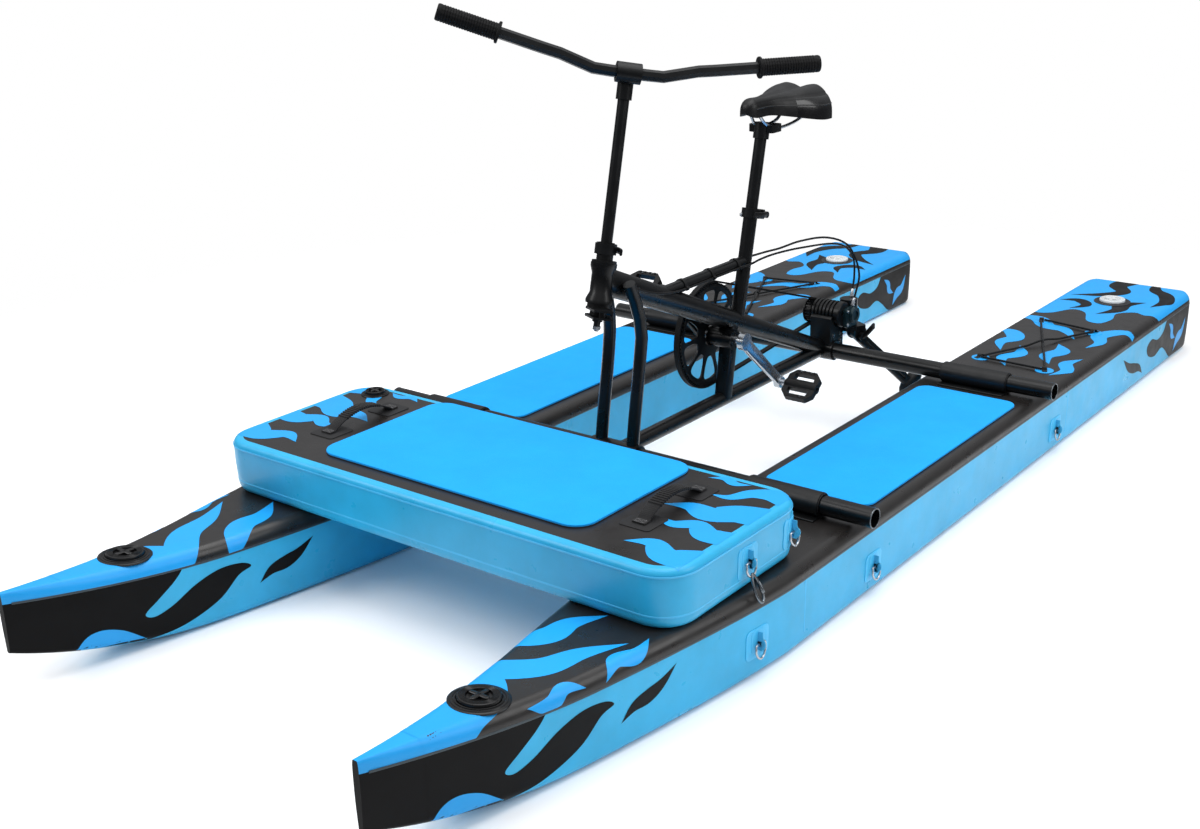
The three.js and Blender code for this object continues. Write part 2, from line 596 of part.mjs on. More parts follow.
function mainTube(grow) {
  const way = mainRear.clone().sub(mainHead).normalize();
  const up = way.clone().cross(X).negate();
  const loops = mainShares.map((share) => {
    const wide = THREE.MathUtils.lerp(MAIN.headWide, MAIN.rearWide, share) + grow;
    const tall = THREE.MathUtils.lerp(MAIN.headTall, MAIN.rearTall, share) + grow;
    const centre = mainHead.clone().lerp(mainRear, share);
    return ovalShape(wide, tall).getPoints(9).slice(0, -1).map((p) =>
      centre.clone().addScaledVector(X, p.x).addScaledVector(up, p.y));
  });
  return loft(loops);
}
const mainTool = mainTube(GAP);
const HEAD_PROFILE = [
  [HEAD.flare, 0], [HEAD.flare, HEAD.lip], [HEAD.waist, HEAD.waistFrom], [HEAD.waist, HEAD.waistTo],
  [HEAD.flare - HEAD.crownIn, HEAD.crownFrom], [HEAD.flare - HEAD.crownIn, HEAD.length],
];
const headTube = turned(
  [[HEAD.bore, 0], ...HEAD_PROFILE, [HEAD.bore, HEAD.length], [HEAD.bore, 0]], HEAD_FOOT, HEAD_AXIS,
);
const headTool = turned(
  [[0, -OVERRUN], ...HEAD_PROFILE.map(([r, h]) => [r + GAP, h]), [0, HEAD.length + OVERRUN]],
  HEAD_FOOT, HEAD_AXIS,
);
piece("head_tube", headTube, FRAME_PAINT, bike);
piece("main_tube", cut(mainTube(0), headTool, collarTool(BEAM.rear)), FRAME_PAINT, bike);

const lowerRod = (radius) =>
  bar(v(0, BEAM.front, beamZ), v(0, BEAM.rear, beamZ), roundShape(radius), 8);
const rearBore = beamRod(BEAM.rear, BEAM.radius + GAP, -COLLAR.rearHalf * 2, COLLAR.rearHalf * 2);
piece("lower_tube", cut(
  joined(cut(lowerRod(LOWER_RADIUS), mainTool), collar(BEAM.rear, COLLAR.rearHalf)),
  rearBore, collarTool(BEAM.front),
), FRAME_PAINT, bike);

const seatRod = (radius, from, to) => bar(
  SEAT_FOOT.clone().addScaledVector(SEAT_AXIS, from), SEAT_FOOT.clone().addScaledVector(SEAT_AXIS, to),
  roundShape(radius), 8,
);
const seatTube = cut(
  seatRod(SEAT.radius, -SEAT.below, SEAT.length), seatRod(SEAT.bore, 0, SEAT.length * 2), mainTool,
);
piece("seat_tube", seatTube, FRAME_PAINT, bike);
const topTube = cut(
  bar(v(0, TOP.from, topZ), v(0, TOP.to, topZ), roundShape(TOP.radius), 10),
  mainTool, seatRod(SEAT.radius + GAP, -OVERRUN, SEAT.length * 2),
);
piece("top_tube", topTube, FRAME_PAINT, bike);

const shellRod = (radius, half) =>
  bar(v(-half, CRANK.y, crankZ), v(half, CRANK.y, crankZ), roundShape(radius), 9, Z);
const strutTop = v(0, STRUT.topY, beamZ + STRUT.up);
const strutFoot = v(0, STRUT.footY, beamZ);
const strutShape = roundedShape(STRUT.halfWide, STRUT.halfLong, STRUT.halfLong / 2);
piece("bottom_bracket", cut(
  joined(shellRod(SHELL.radius, SHELL.halfLength), bar(strutFoot, strutTop, strutShape, 2)),
  mainTool, shellRod(SHELL.bore, SHELL.halfLength * 2), lowerRod(LOWER_RADIUS + GAP),
), FRAME_PAINT, bike);

const legPath = LEG_SHARES.map(([up, back, lean]) => v(
  THREE.MathUtils.lerp(LEG.footX, legTopX, lean), BEAM.front + LEG.belly * back,
  beamZ + LEG.tall * up,
));
const legRod = bent(legPath, roundShape(LEG.radius), 9, 5);
const frontBore = beamRod(BEAM.front, BEAM.radius + GAP, -COLLAR.frontHalf * 2, COLLAR.frontHalf * 2);
piece("front_cradle", cut(
  joined(collar(BEAM.front, COLLAR.frontHalf), legRod, mirrored(legRod)), frontBore, mainTool, headTool,
), FRAME_PAINT, bike);

// Steering: a hollow steerer in the head tube, with the plates below, the post's sleeve above
// and the bar on a post that slides in it. It is drawn straight ahead and then turned
const STEER = {
  plateFront: 62, plateHalf: 25, plateThickness: 4, plateDrop: 12, plateSpace: 14, nut: 21, nutHeight: 9,
  sleeveRadius: 16, sleeveTop: 114, flange: 24, flangeHeight: 4, hole: 3.5, holeUp: 17, holes: 4,
  pin: 6, pinIn: 14, spacerIn: 4, floor: 3,
};
const plateNoseShare = 0.72;
const POST = { radius: 11, bottom: 18, top: 414 };
const STEERER_RADIUS = HEAD.bore - GAP * 4;
const CLAMP_RING = {
  height: 20, wall: 5, ear: 13, earHalf: 10.4, earOut: 11.7, earCorner: 3, slot: 2.4, slack: 2, below: 2,
};
const LEVER = {
  pinOut: 14.95, cam: 7, camWidth: 10, reach: 56, bow: 14, dip: 3, halfWide: 6, halfThick: 2.6, edge: 2,
};
// along the lever: shares of its bow, its reach and its dip
const LEVER_SHARES = [[0.5, 0, 0], [0.857, 0.286, 0.333], [1, 0.643, 0.667], [0.857, 1, 1]];
const BAR = {
  radius: 11.1, wall: 2.1, halfLength: 352, along: 423.5, forward: 19,
  flat: 60, bend: 132, rise: 19, sweepUp: 43, sweepBack: 6,
};
const BAR_SHARES = { straight: [1, 0.8, 0.6, 0.4], bend: 0.86, flat: 0.6 };
const GRIP = { length: 112, radius: 15, flange: 20, flangeWidth: 5, slope: 3, end: 3 };
const GRIP_SHARES = { waist: 0.94, tip: 0.86 };
const CLAMP_BLOCK = { halfWidth: 23, radius: 19, neck: 15, capHeight: 14 };
const HEAD_BACK = HEAD_AXIS.clone().cross(X);
// along the steering axis, across, and back from it
const steerPoint = (along, side = 0, back = 0) =>
  HEAD_FOOT.clone().addScaledVector(HEAD_AXIS, along)
    .addScaledVector(X, side).addScaledVector(HEAD_BACK, back);
const steerRod = (radius, from, to, segments = 6) =>
  bar(steerPoint(from), steerPoint(to), roundShape(radius), segments);
const steered = (shape) => turnedAbout(shape, HEAD_FOOT, HEAD_AXIS, STEER_TURN);

function steerPlate(along) {
  const half = STEER.plateHalf;
  const shape = new THREE.Shape();
  shape.absarc(0, 0, half, 0, TURN / 2, false);
  shape.lineTo(-half * plateNoseShare, -STEER.plateFront);
  shape.lineTo(half * plateNoseShare, -STEER.plateFront);
  shape.closePath();
  const hole = new THREE.Path();
  hole.absarc(0, 0, STEERER_RADIUS + GAP, 0, TURN, true);
  shape.holes.push(hole);
  return placed(slab(shape, STEER.plateThickness, 6), steerPoint(along), HEAD_AXIS, X);
}
const upperPlate = -STEER.plateDrop;
const lowerPlate = upperPlate - STEER.plateSpace;
const spacer = cut(
  steerRod(HEAD.flare - STEER.spacerIn, upperPlate, -GAP),
  steerRod(STEERER_RADIUS + GAP, lowerPlate, OVERRUN),
);
const plateRod = bar(
  steerPoint(lowerPlate, 0, STEER.pinIn - STEER.plateFront),
  steerPoint(upperPlate + STEER.plateThickness, 0, STEER.pinIn - STEER.plateFront), roundShape(STEER.pin), 8,
);
const steerNut = turned([
  [0, -STEER.nutHeight * 2], [STEER.nut / 3, -STEER.nutHeight * 2], [STEER.nut / 3, -STEER.nutHeight],
  [STEER.nut / 2, -STEER.nutHeight], [STEER.nut / 2, -GAP], [STEER.nut / 3, SUNK], [0, SUNK],
], steerPoint(lowerPlate), HEAD_AXIS, 6);
piece("steering_plates", steered(joined(
  steerPlate(upperPlate), steerPlate(lowerPlate), spacer, plateRod,
)), BLACK_METAL, bike);

const sleeveHoles = Array.from({ length: STEER.holes }, (_, i) => {
  const along = HEAD.length + STEER.holeUp;
  const angle = (i + 1 / 2) * TURN / STEER.holes;
  const reach = STEER.sleeveRadius * 2;
  const end = steerPoint(along, reach * Math.cos(angle), reach * Math.sin(angle));
  return bar(steerPoint(along), end, roundShape(STEER.hole), 2, HEAD_AXIS);
});
const steerer = cut(
  joined(
    steerRod(STEERER_RADIUS, lowerPlate, HEAD.length + SUNK),
    steerRod(STEER.flange, HEAD.length + GAP, HEAD.length + GAP + STEER.flangeHeight),
    steerRod(STEER.sleeveRadius, HEAD.length, STEER.sleeveTop),
  ),
  steerRod(POST.radius + GAP, lowerPlate + STEER.floor, STEER.sleeveTop + OVERRUN), ...sleeveHoles,
);

// a split clamp ring with two ears, and the lever that closes it
function clampRing(radius, height, bore) {
  const ring = roundShape(radius + CLAMP_RING.wall, bore);
  const ears = roundedShape(CLAMP_RING.ear, CLAMP_RING.earHalf, CLAMP_RING.earCorner);
  const earBlock = moved(slab(ears, height, 1), 0, radius + CLAMP_RING.earOut, 0);
  const slot = new THREE.BoxGeometry(CLAMP_RING.slot, radius * 4, height * 3);
  return cut(
    joined(slab(ring, height, 6), cut(earBlock, slab(roundShape(radius + CLAMP_RING.slack), height, 6))),
    moved(slot, 0, radius * 2, height / 2),
    moved(slab(roundShape(bore), height * 3, 6), 0, 0, -height),
  );
}
function clampLever(radius, height) {
  const pinY = radius + LEVER.pinOut;
  const out = CLAMP_RING.ear + GAP;
  const cam = placed(slab(roundShape(LEVER.cam), LEVER.camWidth, 8), v(out, pinY, height / 2), X, Y);
  const path = LEVER_SHARES.map(([bow, reach, dip]) =>
    v(out + LEVER.bow * bow, pinY - LEVER.reach * reach, height / 2 - LEVER.dip * dip));
  return joined(cam, bent(path, roundedShape(LEVER.halfWide, LEVER.halfThick, LEVER.edge), 5, 1));
}
const collarAlong = STEER.sleeveTop - CLAMP_RING.height - CLAMP_RING.below;
const onSteer = (shape) => steered(placed(shape, steerPoint(collarAlong), HEAD_AXIS, X));
const postClamp = onSteer(clampRing(STEER.sleeveRadius, CLAMP_RING.height, STEER.sleeveRadius - SUNK));
const steererBody = joined(steered(steerer), postClamp, steered(steerNut));
piece("steerer_sleeve", steererBody, BLACK_METAL, bike);
piece("post_lever", onSteer(clampLever(STEER.sleeveRadius, CLAMP_RING.height)), BLACK_METAL, bike);

const barCentre = steerPoint(BAR.along, 0, -BAR.forward);
const barTool = bar(
  barCentre.clone().addScaledVector(X, -BAR.flat), barCentre.clone().addScaledVector(X, BAR.flat),
  roundShape(BAR.radius + GAP), 12, Z,
);
const clampBlock = cut(
  joined(
    steerRod(POST.radius, POST.bottom, POST.top),
    bar(steerPoint(BAR.along, -CLAMP_BLOCK.halfWidth, -BAR.forward),
      steerPoint(BAR.along, CLAMP_BLOCK.halfWidth, -BAR.forward), roundShape(CLAMP_BLOCK.radius), 12, Z),
    steerRod(CLAMP_BLOCK.neck, POST.top - CLAMP_BLOCK.radius * 2, POST.top + CLAMP_BLOCK.capHeight),
  ),
  barTool,
);
piece("stem_post", steered(clampBlock), BLACK_METAL, bike);

function barPoint(side) {
  const reach = Math.abs(side);
  const bendShare = THREE.MathUtils.smoothstep(reach, BAR.flat, BAR.bend);
  const outShare = Math.max(0, (reach - BAR.bend) / (BAR.halfLength - BAR.bend));
  const up = BAR.rise * bendShare + BAR.sweepUp * outShare;
  return steerPoint(BAR.along + up, side, BAR.sweepBack * outShare - BAR.forward);
}
const barHalf = [
  ...BAR_SHARES.straight.map((share) => share * BAR.halfLength), BAR.bend * BAR_SHARES.bend,
  (BAR.bend + BAR.flat) / 2, BAR.flat, BAR.flat * BAR_SHARES.flat,
];
const barPath = [...barHalf.map((side) => barPoint(-side)), ...barHalf.slice().reverse().map(barPoint)];
const handlebar = bent(barPath, roundShape(BAR.radius, BAR.radius - BAR.wall), 22, 4);
piece("handlebar", steered(handlebar), BLACK_METAL, bike);
function grip(side) {
  const tip = barPoint(side * BAR.halfLength);
  const inner = barPoint(side * (BAR.halfLength - GRIP.length));
  const way = tip.clone().sub(inner).normalize();
  const bore = BAR.radius + GAP * 3;
  const length = tip.distanceTo(inner);
  return turned([
    [bore, 0], [GRIP.flange, 0], [GRIP.flange, GRIP.flangeWidth],
    [GRIP.radius, GRIP.flangeWidth + GRIP.slope],
    [GRIP.radius * GRIP_SHARES.waist, length / 2], [GRIP.radius, length],
    [GRIP.radius * GRIP_SHARES.tip, length + GRIP.end + GAP], [0, length + GRIP.end + GAP],
    [0, length + GAP], [bore, length + GAP], [bore, 0],
  ], inner, way, 12);
}
piece("hand_grip_left", steered(grip(1)), GRIP_RUBBER, bike);
piece("hand_grip_right", steered(grip(-1)), GRIP_RUBBER, bike);

// Saddle on its sliding post
const SADDLE = {
  back: 53.6, rise: 62.3, noseHalf: 20, rearHalf: 80, length: 246, thickness: 44, noseDrop: 4, sag: 3, endDrop: 9,
  railRadius: 3.5, railHalf: 22, railDrop: 26, railRise: 9,
};
const SADDLE_SHARES = {
  widenFrom: 0.2, widenTo: 0.85, fullTo: 0.8, endWidth: 0.25, noseDepth: 0.6, endDepth: 0.35,
  crown: 0.55, underside: 0.72,
};
// along one rail, from the nose back: shares of its half spread, of the length, and of the rise or thickness
const RAIL_SHARES = {
  nose: [0.364, -0.34, 0.78], bend: [0.636, -0.25], from: [1, -0.16], to: [1, 0.1], rise: [1.2, 0.24],
  rear: [1.6, 0.34, 0.9],
};
const seatPoint = (along, side = 0) =>
  SEAT_FOOT.clone().addScaledVector(SEAT_AXIS, along).addScaledVector(X, side);
const onSeat = (shape, along) => placed(shape, seatPoint(along), SEAT_AXIS, X);
const seatRing = clampRing(SEAT.radius, CLAMP_RING.height, SEAT.radius + GAP * 3);
piece("seat_clamp", onSeat(seatRing, SEAT.length - CLAMP_RING.height), BLACK_METAL, bike);
const seatLever = clampLever(SEAT.radius, CLAMP_RING.height);
piece("seat_lever", onSeat(seatLever, SEAT.length - CLAMP_RING.height), BLACK_METAL, bike);
const postTop = SEAT.length + SEAT.postOut;
const saddleY = seatPoint(postTop).y + SADDLE.back;
const saddleTop = seatPoint(postTop).z + SADDLE.rise;
const seatPost = bar(
  seatPoint(SEAT.length - SEAT.postIn), seatPoint(postTop), roundShape(SEAT.postRadius), 12,
);
piece("seat_post", seatPost, BLACK_METAL, bike);

function saddleLoop(share) {
  const shares = SADDLE_SHARES;
  const y = saddleY + (share - 1 / 2) * SADDLE.length;
  const widen = THREE.MathUtils.smoothstep(share, shares.widenFrom, shares.widenTo);
  const nearEnd = Math.max(0, Math.abs(share - 1 / 2) * 2 - shares.fullTo) / (1 - shares.fullTo);
  const ends = Math.sqrt(Math.max(0, 1 - nearEnd ** 2));
  const wide = THREE.MathUtils.lerp(SADDLE.noseHalf, SADDLE.rearHalf, widen);
  const half = wide * THREE.MathUtils.lerp(shares.endWidth, 1, ends);
  const dip = SADDLE.noseDrop * (1 - THREE.MathUtils.smoothstep(share, 0, 1 / 2));
  const top = saddleTop - dip - SADDLE.sag * Math.sin(share * Math.PI) - (1 - ends) * SADDLE.endDrop;
  const depth = SADDLE.thickness * THREE.MathUtils.lerp(shares.noseDepth, 1, widen)
    * THREE.MathUtils.lerp(shares.endDepth, 1, ends);
  const points = [];
  const steps = 8;
  for (let i = 0; i <= steps; i += 1) {
    const angle = (i / steps) * Math.PI;
    const x = -Math.cos(angle) * half;
    points.push(v(x, y, top - depth * (1 - Math.sin(angle) ** shares.crown)));
  }
  points.push(v(half * shares.underside, y, top - depth));
  points.push(v(-half * shares.underside, y, top - depth));
  return points;
}
const saddleShares = [0, 0.03, 0.1, 0.25, 0.4, 0.55, 0.7, 0.82, 0.92, 0.975, 1];
const saddleBody = loft(saddleShares.map(saddleLoop));
const railZ = saddleTop - SADDLE.thickness - SADDLE.railDrop + SADDLE.railRadius;
const underSaddle = (thicknessShare) => saddleTop - SADDLE.thickness * thicknessShare;
const railPoint = (side, [outShare, alongShare], z) =>
  v(side * SADDLE.railHalf * outShare, saddleY + SADDLE.length * alongShare, z);
const railPath = (side) => [
  railPoint(side, RAIL_SHARES.nose, underSaddle(RAIL_SHARES.nose[2])),
  railPoint(side, RAIL_SHARES.bend, railZ + SADDLE.railRise),
  railPoint(side, RAIL_SHARES.from, railZ), railPoint(side, RAIL_SHARES.to, railZ),
  railPoint(side, RAIL_SHARES.rise, railZ + SADDLE.railRise),
  railPoint(side, RAIL_SHARES.rear, underSaddle(RAIL_SHARES.rear[2])),
];
// one wire, bent round under the nose
const railWire = (radius) => bent(
  [...railPath(1).reverse(), ...railPath(-1)], roundShape(radius), 26, 3,
);
const SADDLE_CLAMP = {
  halfWidth: 30, halfLength: 20, halfHeight: 8, corner: 6, back: 12, below: 26, above: 8, wall: 4,
};
const clampShape = roundedShape(SADDLE_CLAMP.halfWidth, SADDLE_CLAMP.halfLength, SADDLE_CLAMP.corner);
const clampBody = joined(
  moved(slab(clampShape, SADDLE_CLAMP.halfHeight * 2, 1),
    0, seatPoint(postTop).y + SADDLE_CLAMP.back, railZ - SADDLE_CLAMP.halfHeight),
  bar(seatPoint(postTop - SADDLE_CLAMP.below), seatPoint(postTop + SADDLE_CLAMP.above),
    roundShape(SEAT.postRadius + SADDLE_CLAMP.wall), 12),
);
piece("saddle_clamp", cut(
  clampBody, seatRod(SEAT.postRadius + GAP, 0, postTop + GAP),
  railWire(SADDLE.railRadius + GAP),
), BLACK_METAL, bike);
piece("saddle", cut(saddleBody, railWire(SADDLE.railRadius + GAP)), SADDLE_SKIN, bike);
piece("saddle_rails", railWire(SADDLE.railRadius), BRIGHT_METAL, bike);

// Cranks, the toothed belt ring and the pedals
const ARM = {
  inner: 46, thickness: 14, eyeOut: 15, bossRadius: 19, eyeRadius: 13, bossHalf: 14, eyeHalf: 10.5,
  corner: 4, thin: 1, seat: 9.8,
};
const ARM_SHARES = { along: [0, 0.2, 0.85, 1], outFrom: 0.05, outTo: 0.95 };
const SPINDLE_RADIUS = 8.5;
const crankCentre = v(0, CRANK.y, crankZ);
const crankWay = v(0, Math.sin(CRANK.turn), -Math.cos(CRANK.turn)); // from the axis to the left pedal
const crankRod = (radius, from, to, centre = crankCentre, segments = 6) =>
  bar(v(from, centre.y, centre.z), v(to, centre.y, centre.z), roundShape(radius), segments, Z);
const leftEye = crankCentre.clone().addScaledVector(crankWay, CRANK.length);
const rightEye = crankCentre.clone().addScaledVector(crankWay, -CRANK.length);
const spindleHalf = ARM.inner + ARM.seat;
piece("crank_spindle", crankRod(SPINDLE_RADIUS, -spindleHalf, spindleHalf), BRIGHT_METAL, bike);
const PEDAL = {
  axleRadius: 4.5, from: 86, width: 76, halfLength: 36, height: 18, rail: 9, boss: 11,
  axleShort: 4, shoulder: 3, corner: 13.7, railGap: 0.5, windowIn: 3, windowSlant: 3,
  tooth: 4, toothDepth: 3, toothIn: 2.2, toothRise: 2, teeth: 4,
};
const PEDAL_TILT = THREE.MathUtils.degToRad(36);
// drawn on the left, its pedal eye at the given point
function crankArm(eye) {
  const way = eye.clone().sub(crankCentre).normalize();
  const aside = way.clone().cross(X);
  const mid = ARM.inner + ARM.thickness / 2;
  const loops = ARM_SHARES.along.map((share) => {
    const half = THREE.MathUtils.lerp(ARM.bossHalf, ARM.eyeHalf, share);
    const out = mid + ARM.eyeOut * THREE.MathUtils.smoothstep(share, ARM_SHARES.outFrom, ARM_SHARES.outTo);
    const thick = ARM.thickness / 2 - ARM.thin * share;
    const centre = crankCentre.clone().addScaledVector(way, CRANK.length * share).addScaledVector(X, out);
    return roundedShape(thick, half, ARM.corner).getPoints(1).slice(0, -1).map((p) =>
      centre.clone().addScaledVector(X, p.x).addScaledVector(aside, p.y));
  });
  const eyeFrom = ARM.inner + ARM.eyeOut;
  return cut(
    joined(
      loft(loops), crankRod(ARM.bossRadius, ARM.inner, ARM.inner + ARM.thickness),
      crankRod(ARM.eyeRadius, eyeFrom, eyeFrom + ARM.thickness, eye),
    ),
    crankRod(SPINDLE_RADIUS + GAP, 0, spindleHalf + GAP),
  );
}
const armAndAxle = (eye) => joined(
  crankArm(eye),
  crankRod(
    PEDAL.axleRadius, ARM.inner + ARM.eyeOut + SUNK * 2, PEDAL.from + PEDAL.width - PEDAL.axleShort, eye, 8,
  ),
  crankRod(PEDAL.axleRadius + PEDAL.shoulder, ARM.inner + ARM.eyeOut + SUNK, PEDAL.from - GAP * 2, eye, 6),
);
piece("crank_arm_left", armAndAxle(leftEye), BRIGHT_METAL, bike);
piece("crank_arm_right", mirrored(armAndAxle(rightEye)), BLACK_METAL, bike);
// a cage with two windows, a cross barrel over the axle and gripping teeth along its rims
function pedalBody(eye) {
  const outline = new THREE.Shape();
  const half = PEDAL.halfLength;
  const corner = PEDAL.corner;
  outline.moveTo(corner, -half);
  outline.lineTo(PEDAL.width - corner, -half);
  outline.lineTo(PEDAL.width, -half + corner);
  outline.lineTo(PEDAL.width, half - corner);
  outline.lineTo(PEDAL.width - corner, half);
  outline.lineTo(corner, half);
  outline.lineTo(0, half - corner);
  outline.lineTo(0, -half + corner);
  outline.closePath();
  for (const side of [-1, 1]) {
    const near = side * (PEDAL.boss + PEDAL.railGap);
    const far = side * (half - PEDAL.rail);
    const end = PEDAL.rail + PEDAL.windowIn;
    const window = new THREE.Path();
    window.moveTo(end, near);
    window.lineTo(PEDAL.width - end, near);
    window.lineTo(PEDAL.width - end - PEDAL.windowSlant, far);
    window.lineTo(end + PEDAL.windowSlant, far);
    window.closePath();
    outline.holes.push(window);
  }
  const cageHeight = PEDAL.height - PEDAL.toothRise * 2;
  const cage = moved(slab(outline, cageHeight, 2), 0, 0, -cageHeight / 2);
  const teeth = [];
  for (let i = 0; i < PEDAL.teeth; i += 1) {
    const x = corner + (PEDAL.width - 2 * corner) * (i + 1 / 2) / PEDAL.teeth;
    for (const side of [-1, 1]) {
      const tooth = new THREE.BoxGeometry(PEDAL.tooth, PEDAL.toothDepth, PEDAL.height);
      teeth.push(moved(tooth, x, side * (half - PEDAL.toothIn), 0));
    }
  }
  const barrel = placed(slab(roundShape(PEDAL.boss), PEDAL.width, 10), v(0, 0, 0), X, Y);
  const boreRod = slab(roundShape(PEDAL.axleRadius + GAP), PEDAL.width * 2, 8);
  const bore = placed(boreRod, v(-PEDAL.width / 2, 0, 0), X, Y);
  const body = cut(joined(cage, barrel, ...teeth), bore);
  const tilted = turnedAbout(body, v(0, 0, 0), X, PEDAL_TILT);
  return moved(tilted, PEDAL.from, eye.y, eye.z);
}
piece("pedal_left", pedalBody(leftEye), BLACK_PLASTIC, bike);
piece("pedal_right", mirrored(pedalBody(rightEye)), BLACK_PLASTIC, bike);

const pitchRadius = (teeth) => teeth * BELT.pitch / TURN;
const TOOTH = { depth: 3.2, rootShare: 0.3, tipShare: 0.2 };
function toothedShape(teeth, bore) {
  const tip = pitchRadius(teeth);
  const root = tip - TOOTH.depth;
  const shape = new THREE.Shape();
  const at = (radius, angle, start) => {
    const x = radius * Math.cos(angle);
    const y = radius * Math.sin(angle);
    if (start) shape.moveTo(x, y);
    else shape.lineTo(x, y);
  };
  for (let i = 0; i < teeth; i += 1) {
    const step = TURN / teeth;
    const middle = i * step;
    at(root, middle - step * TOOTH.rootShare, i === 0);
    at(tip, middle - step * TOOTH.tipShare, false);
    at(tip, middle + step * TOOTH.tipShare, false);
    at(root, middle + step * TOOTH.rootShare, false);
  }
  shape.closePath();
  if (bore > 0) {
    const hole = new THREE.Path();
    hole.absarc(0, 0, bore, 0, TURN, true);
    shape.holes.push(hole);
  }
  return shape;
}
const RING_SIZE = {
  rimDepth: 8.5, discThickness: 4, windows: 10, windowHalfLong: 17, windowHalfWide: 17, windowAt: 80,
  hub: 24, spiderThickness: 5, arms: 5, armHalf: 9, armReach: 62,
};
const spiderShares = { turn: 0.25, round: 0.9 };
const ringInner = BELT.plane + BELT.width / 2;
const ringOuter = BELT.plane - BELT.width / 2;
const onCrank = (shape, x) => placed(shape, v(x, CRANK.y, crankZ), X, Y);
function beltRing() {
  const rimBore = pitchRadius(RING_TEETH) - RING_SIZE.rimDepth;
  const rim = onCrank(slab(toothedShape(RING_TEETH, rimBore), BELT.width, 15), ringOuter);
  const discShape = roundShape(rimBore + SUNK, RING_SIZE.hub);
  for (let i = 0; i < RING_SIZE.windows; i += 1) {
    const angle = (i + 1 / 2) * TURN / RING_SIZE.windows;
    const sides = 8;
    const corners = [];
    for (let k = 0; k < sides; k += 1) {
      const out = -k * TURN / sides;
      const far = RING_SIZE.windowAt + RING_SIZE.windowHalfLong * Math.cos(out);
      const aside = RING_SIZE.windowHalfWide * Math.sin(out);
      corners.push(new THREE.Vector2(
        far * Math.cos(angle) - aside * Math.sin(angle), far * Math.sin(angle) + aside * Math.cos(angle),
      ));
    }
    discShape.holes.push(new THREE.Path(corners));
  }
  const disc = onCrank(slab(discShape, RING_SIZE.discThickness, 15), ringInner - RING_SIZE.discThickness);
  return joined(rim, disc);
}
function spider() {
  const from = -ARM.inner + GAP;
  const thickness = RING_SIZE.spiderThickness;
  const face = ringInner - RING_SIZE.discThickness + SUNK;
  const armShape = roundedShape(
    RING_SIZE.armReach / 2, RING_SIZE.armHalf, RING_SIZE.armHalf * spiderShares.round,
  );
  const arms = [];
  for (let i = 0; i < RING_SIZE.arms; i += 1) {
    const angle = (i + spiderShares.turn) * TURN / RING_SIZE.arms;
    const arm = slab(armShape, thickness, 1);
    arms.push(onCrank(
      turnedAbout(moved(arm, RING_SIZE.armReach / 2, 0, 0), v(0, 0, 0), Z, angle), face - thickness,
    ));
  }
  const hub = onCrank(slab(roundShape(RING_SIZE.hub + SUNK), face - from, 9), from);
  const bore = onCrank(slab(roundShape(SPINDLE_RADIUS + GAP), OVERRUN * 3, 10), from - OVERRUN);
  return cut(joined(hub, ...arms), bore);
}
piece("belt_ring", joined(beltRing(), spider()), BLACK_METAL, bike);

// The belt: two arcs and two tangent runs round the ring and the pulley
const beltWay = v(0, PULLEY.y - CRANK.y, pulleyZ - crankZ);
function beltOutline(extra, Kind) {
  const big = pitchRadius(RING_TEETH) + extra;
  const little = pitchRadius(PULLEY_TEETH) + extra;
  const span = beltWay.length();
  const way = Math.atan2(beltWay.z, beltWay.y);
  const open = Math.acos((big - little) / span);
  const outline = new Kind();
  const arc = (cy, cz, radius, from, to, steps) => {
    for (let i = 0; i <= steps; i += 1) {
      const angle = THREE.MathUtils.lerp(from, to, i / steps);
      const y = cy + radius * Math.cos(angle);
      const z = cz + radius * Math.sin(angle);
      if (outline.curves.length === 0 && i === 0 && radius === big) outline.moveTo(y, z);
      else outline.lineTo(y, z);
    }
  };
  arc(CRANK.y, crankZ, big, way + open, way + TURN - open, 34);
  arc(PULLEY.y, pulleyZ, little, way - open, way + open, 10);
  outline.closePath();
  return outline;
}
const beltShape = beltOutline(GAP + BELT.thickness, THREE.Shape);
beltShape.holes.push(beltOutline(GAP, THREE.Path));
piece("drive_belt", across(beltShape, BELT.width - 2, BELT.plane, 1), GRIP_RUBBER, bike);

// Small pulley and the finned gearbox that turns the drive down into the leg
const DRUM = {
  from: -29, to: 42, radius: 30, fin: 5, groove: 4.6, grooveDepth: 4, back: 6, edge: 2,
  shaft: 8, shaftDepth: 16, webHeight: 28, webIn: 4, webDrop: 8, pulleyLip: 3, lipWidth: 2,
};
const webShare = 1.6;
const drumY = PULLEY.y + DRUM.back;
const onPulley = (shape, x) => placed(shape, v(x, PULLEY.y, pulleyZ), X, Y);
piece("drive_pulley", joined(
  onPulley(slab(toothedShape(PULLEY_TEETH, 0), BELT.width, 4), ringOuter),
  onPulley(
    slab(roundShape(pitchRadius(PULLEY_TEETH) + DRUM.pulleyLip), DRUM.lipWidth, 10),
    ringOuter - DRUM.lipWidth,
  ),
  onPulley(slab(roundShape(DRUM.shaft), DRUM.from + DRUM.shaftDepth - ringInner + SUNK, 8), ringInner - SUNK),
), BLACK_METAL, bike);
const KINGPIN = { x: 28, y: 502, radius: 9, lobe: 21, top: 110.7, bottom: 44.7, depth: 40 };
const lobeTop = beamZ + KINGPIN.top;
const lobeBottom = beamZ + KINGPIN.bottom;
const kingRod = (radius, from, to, segments = 6) =>
  bar(v(KINGPIN.x, KINGPIN.y, from), v(KINGPIN.x, KINGPIN.y, to), roundShape(radius), segments);
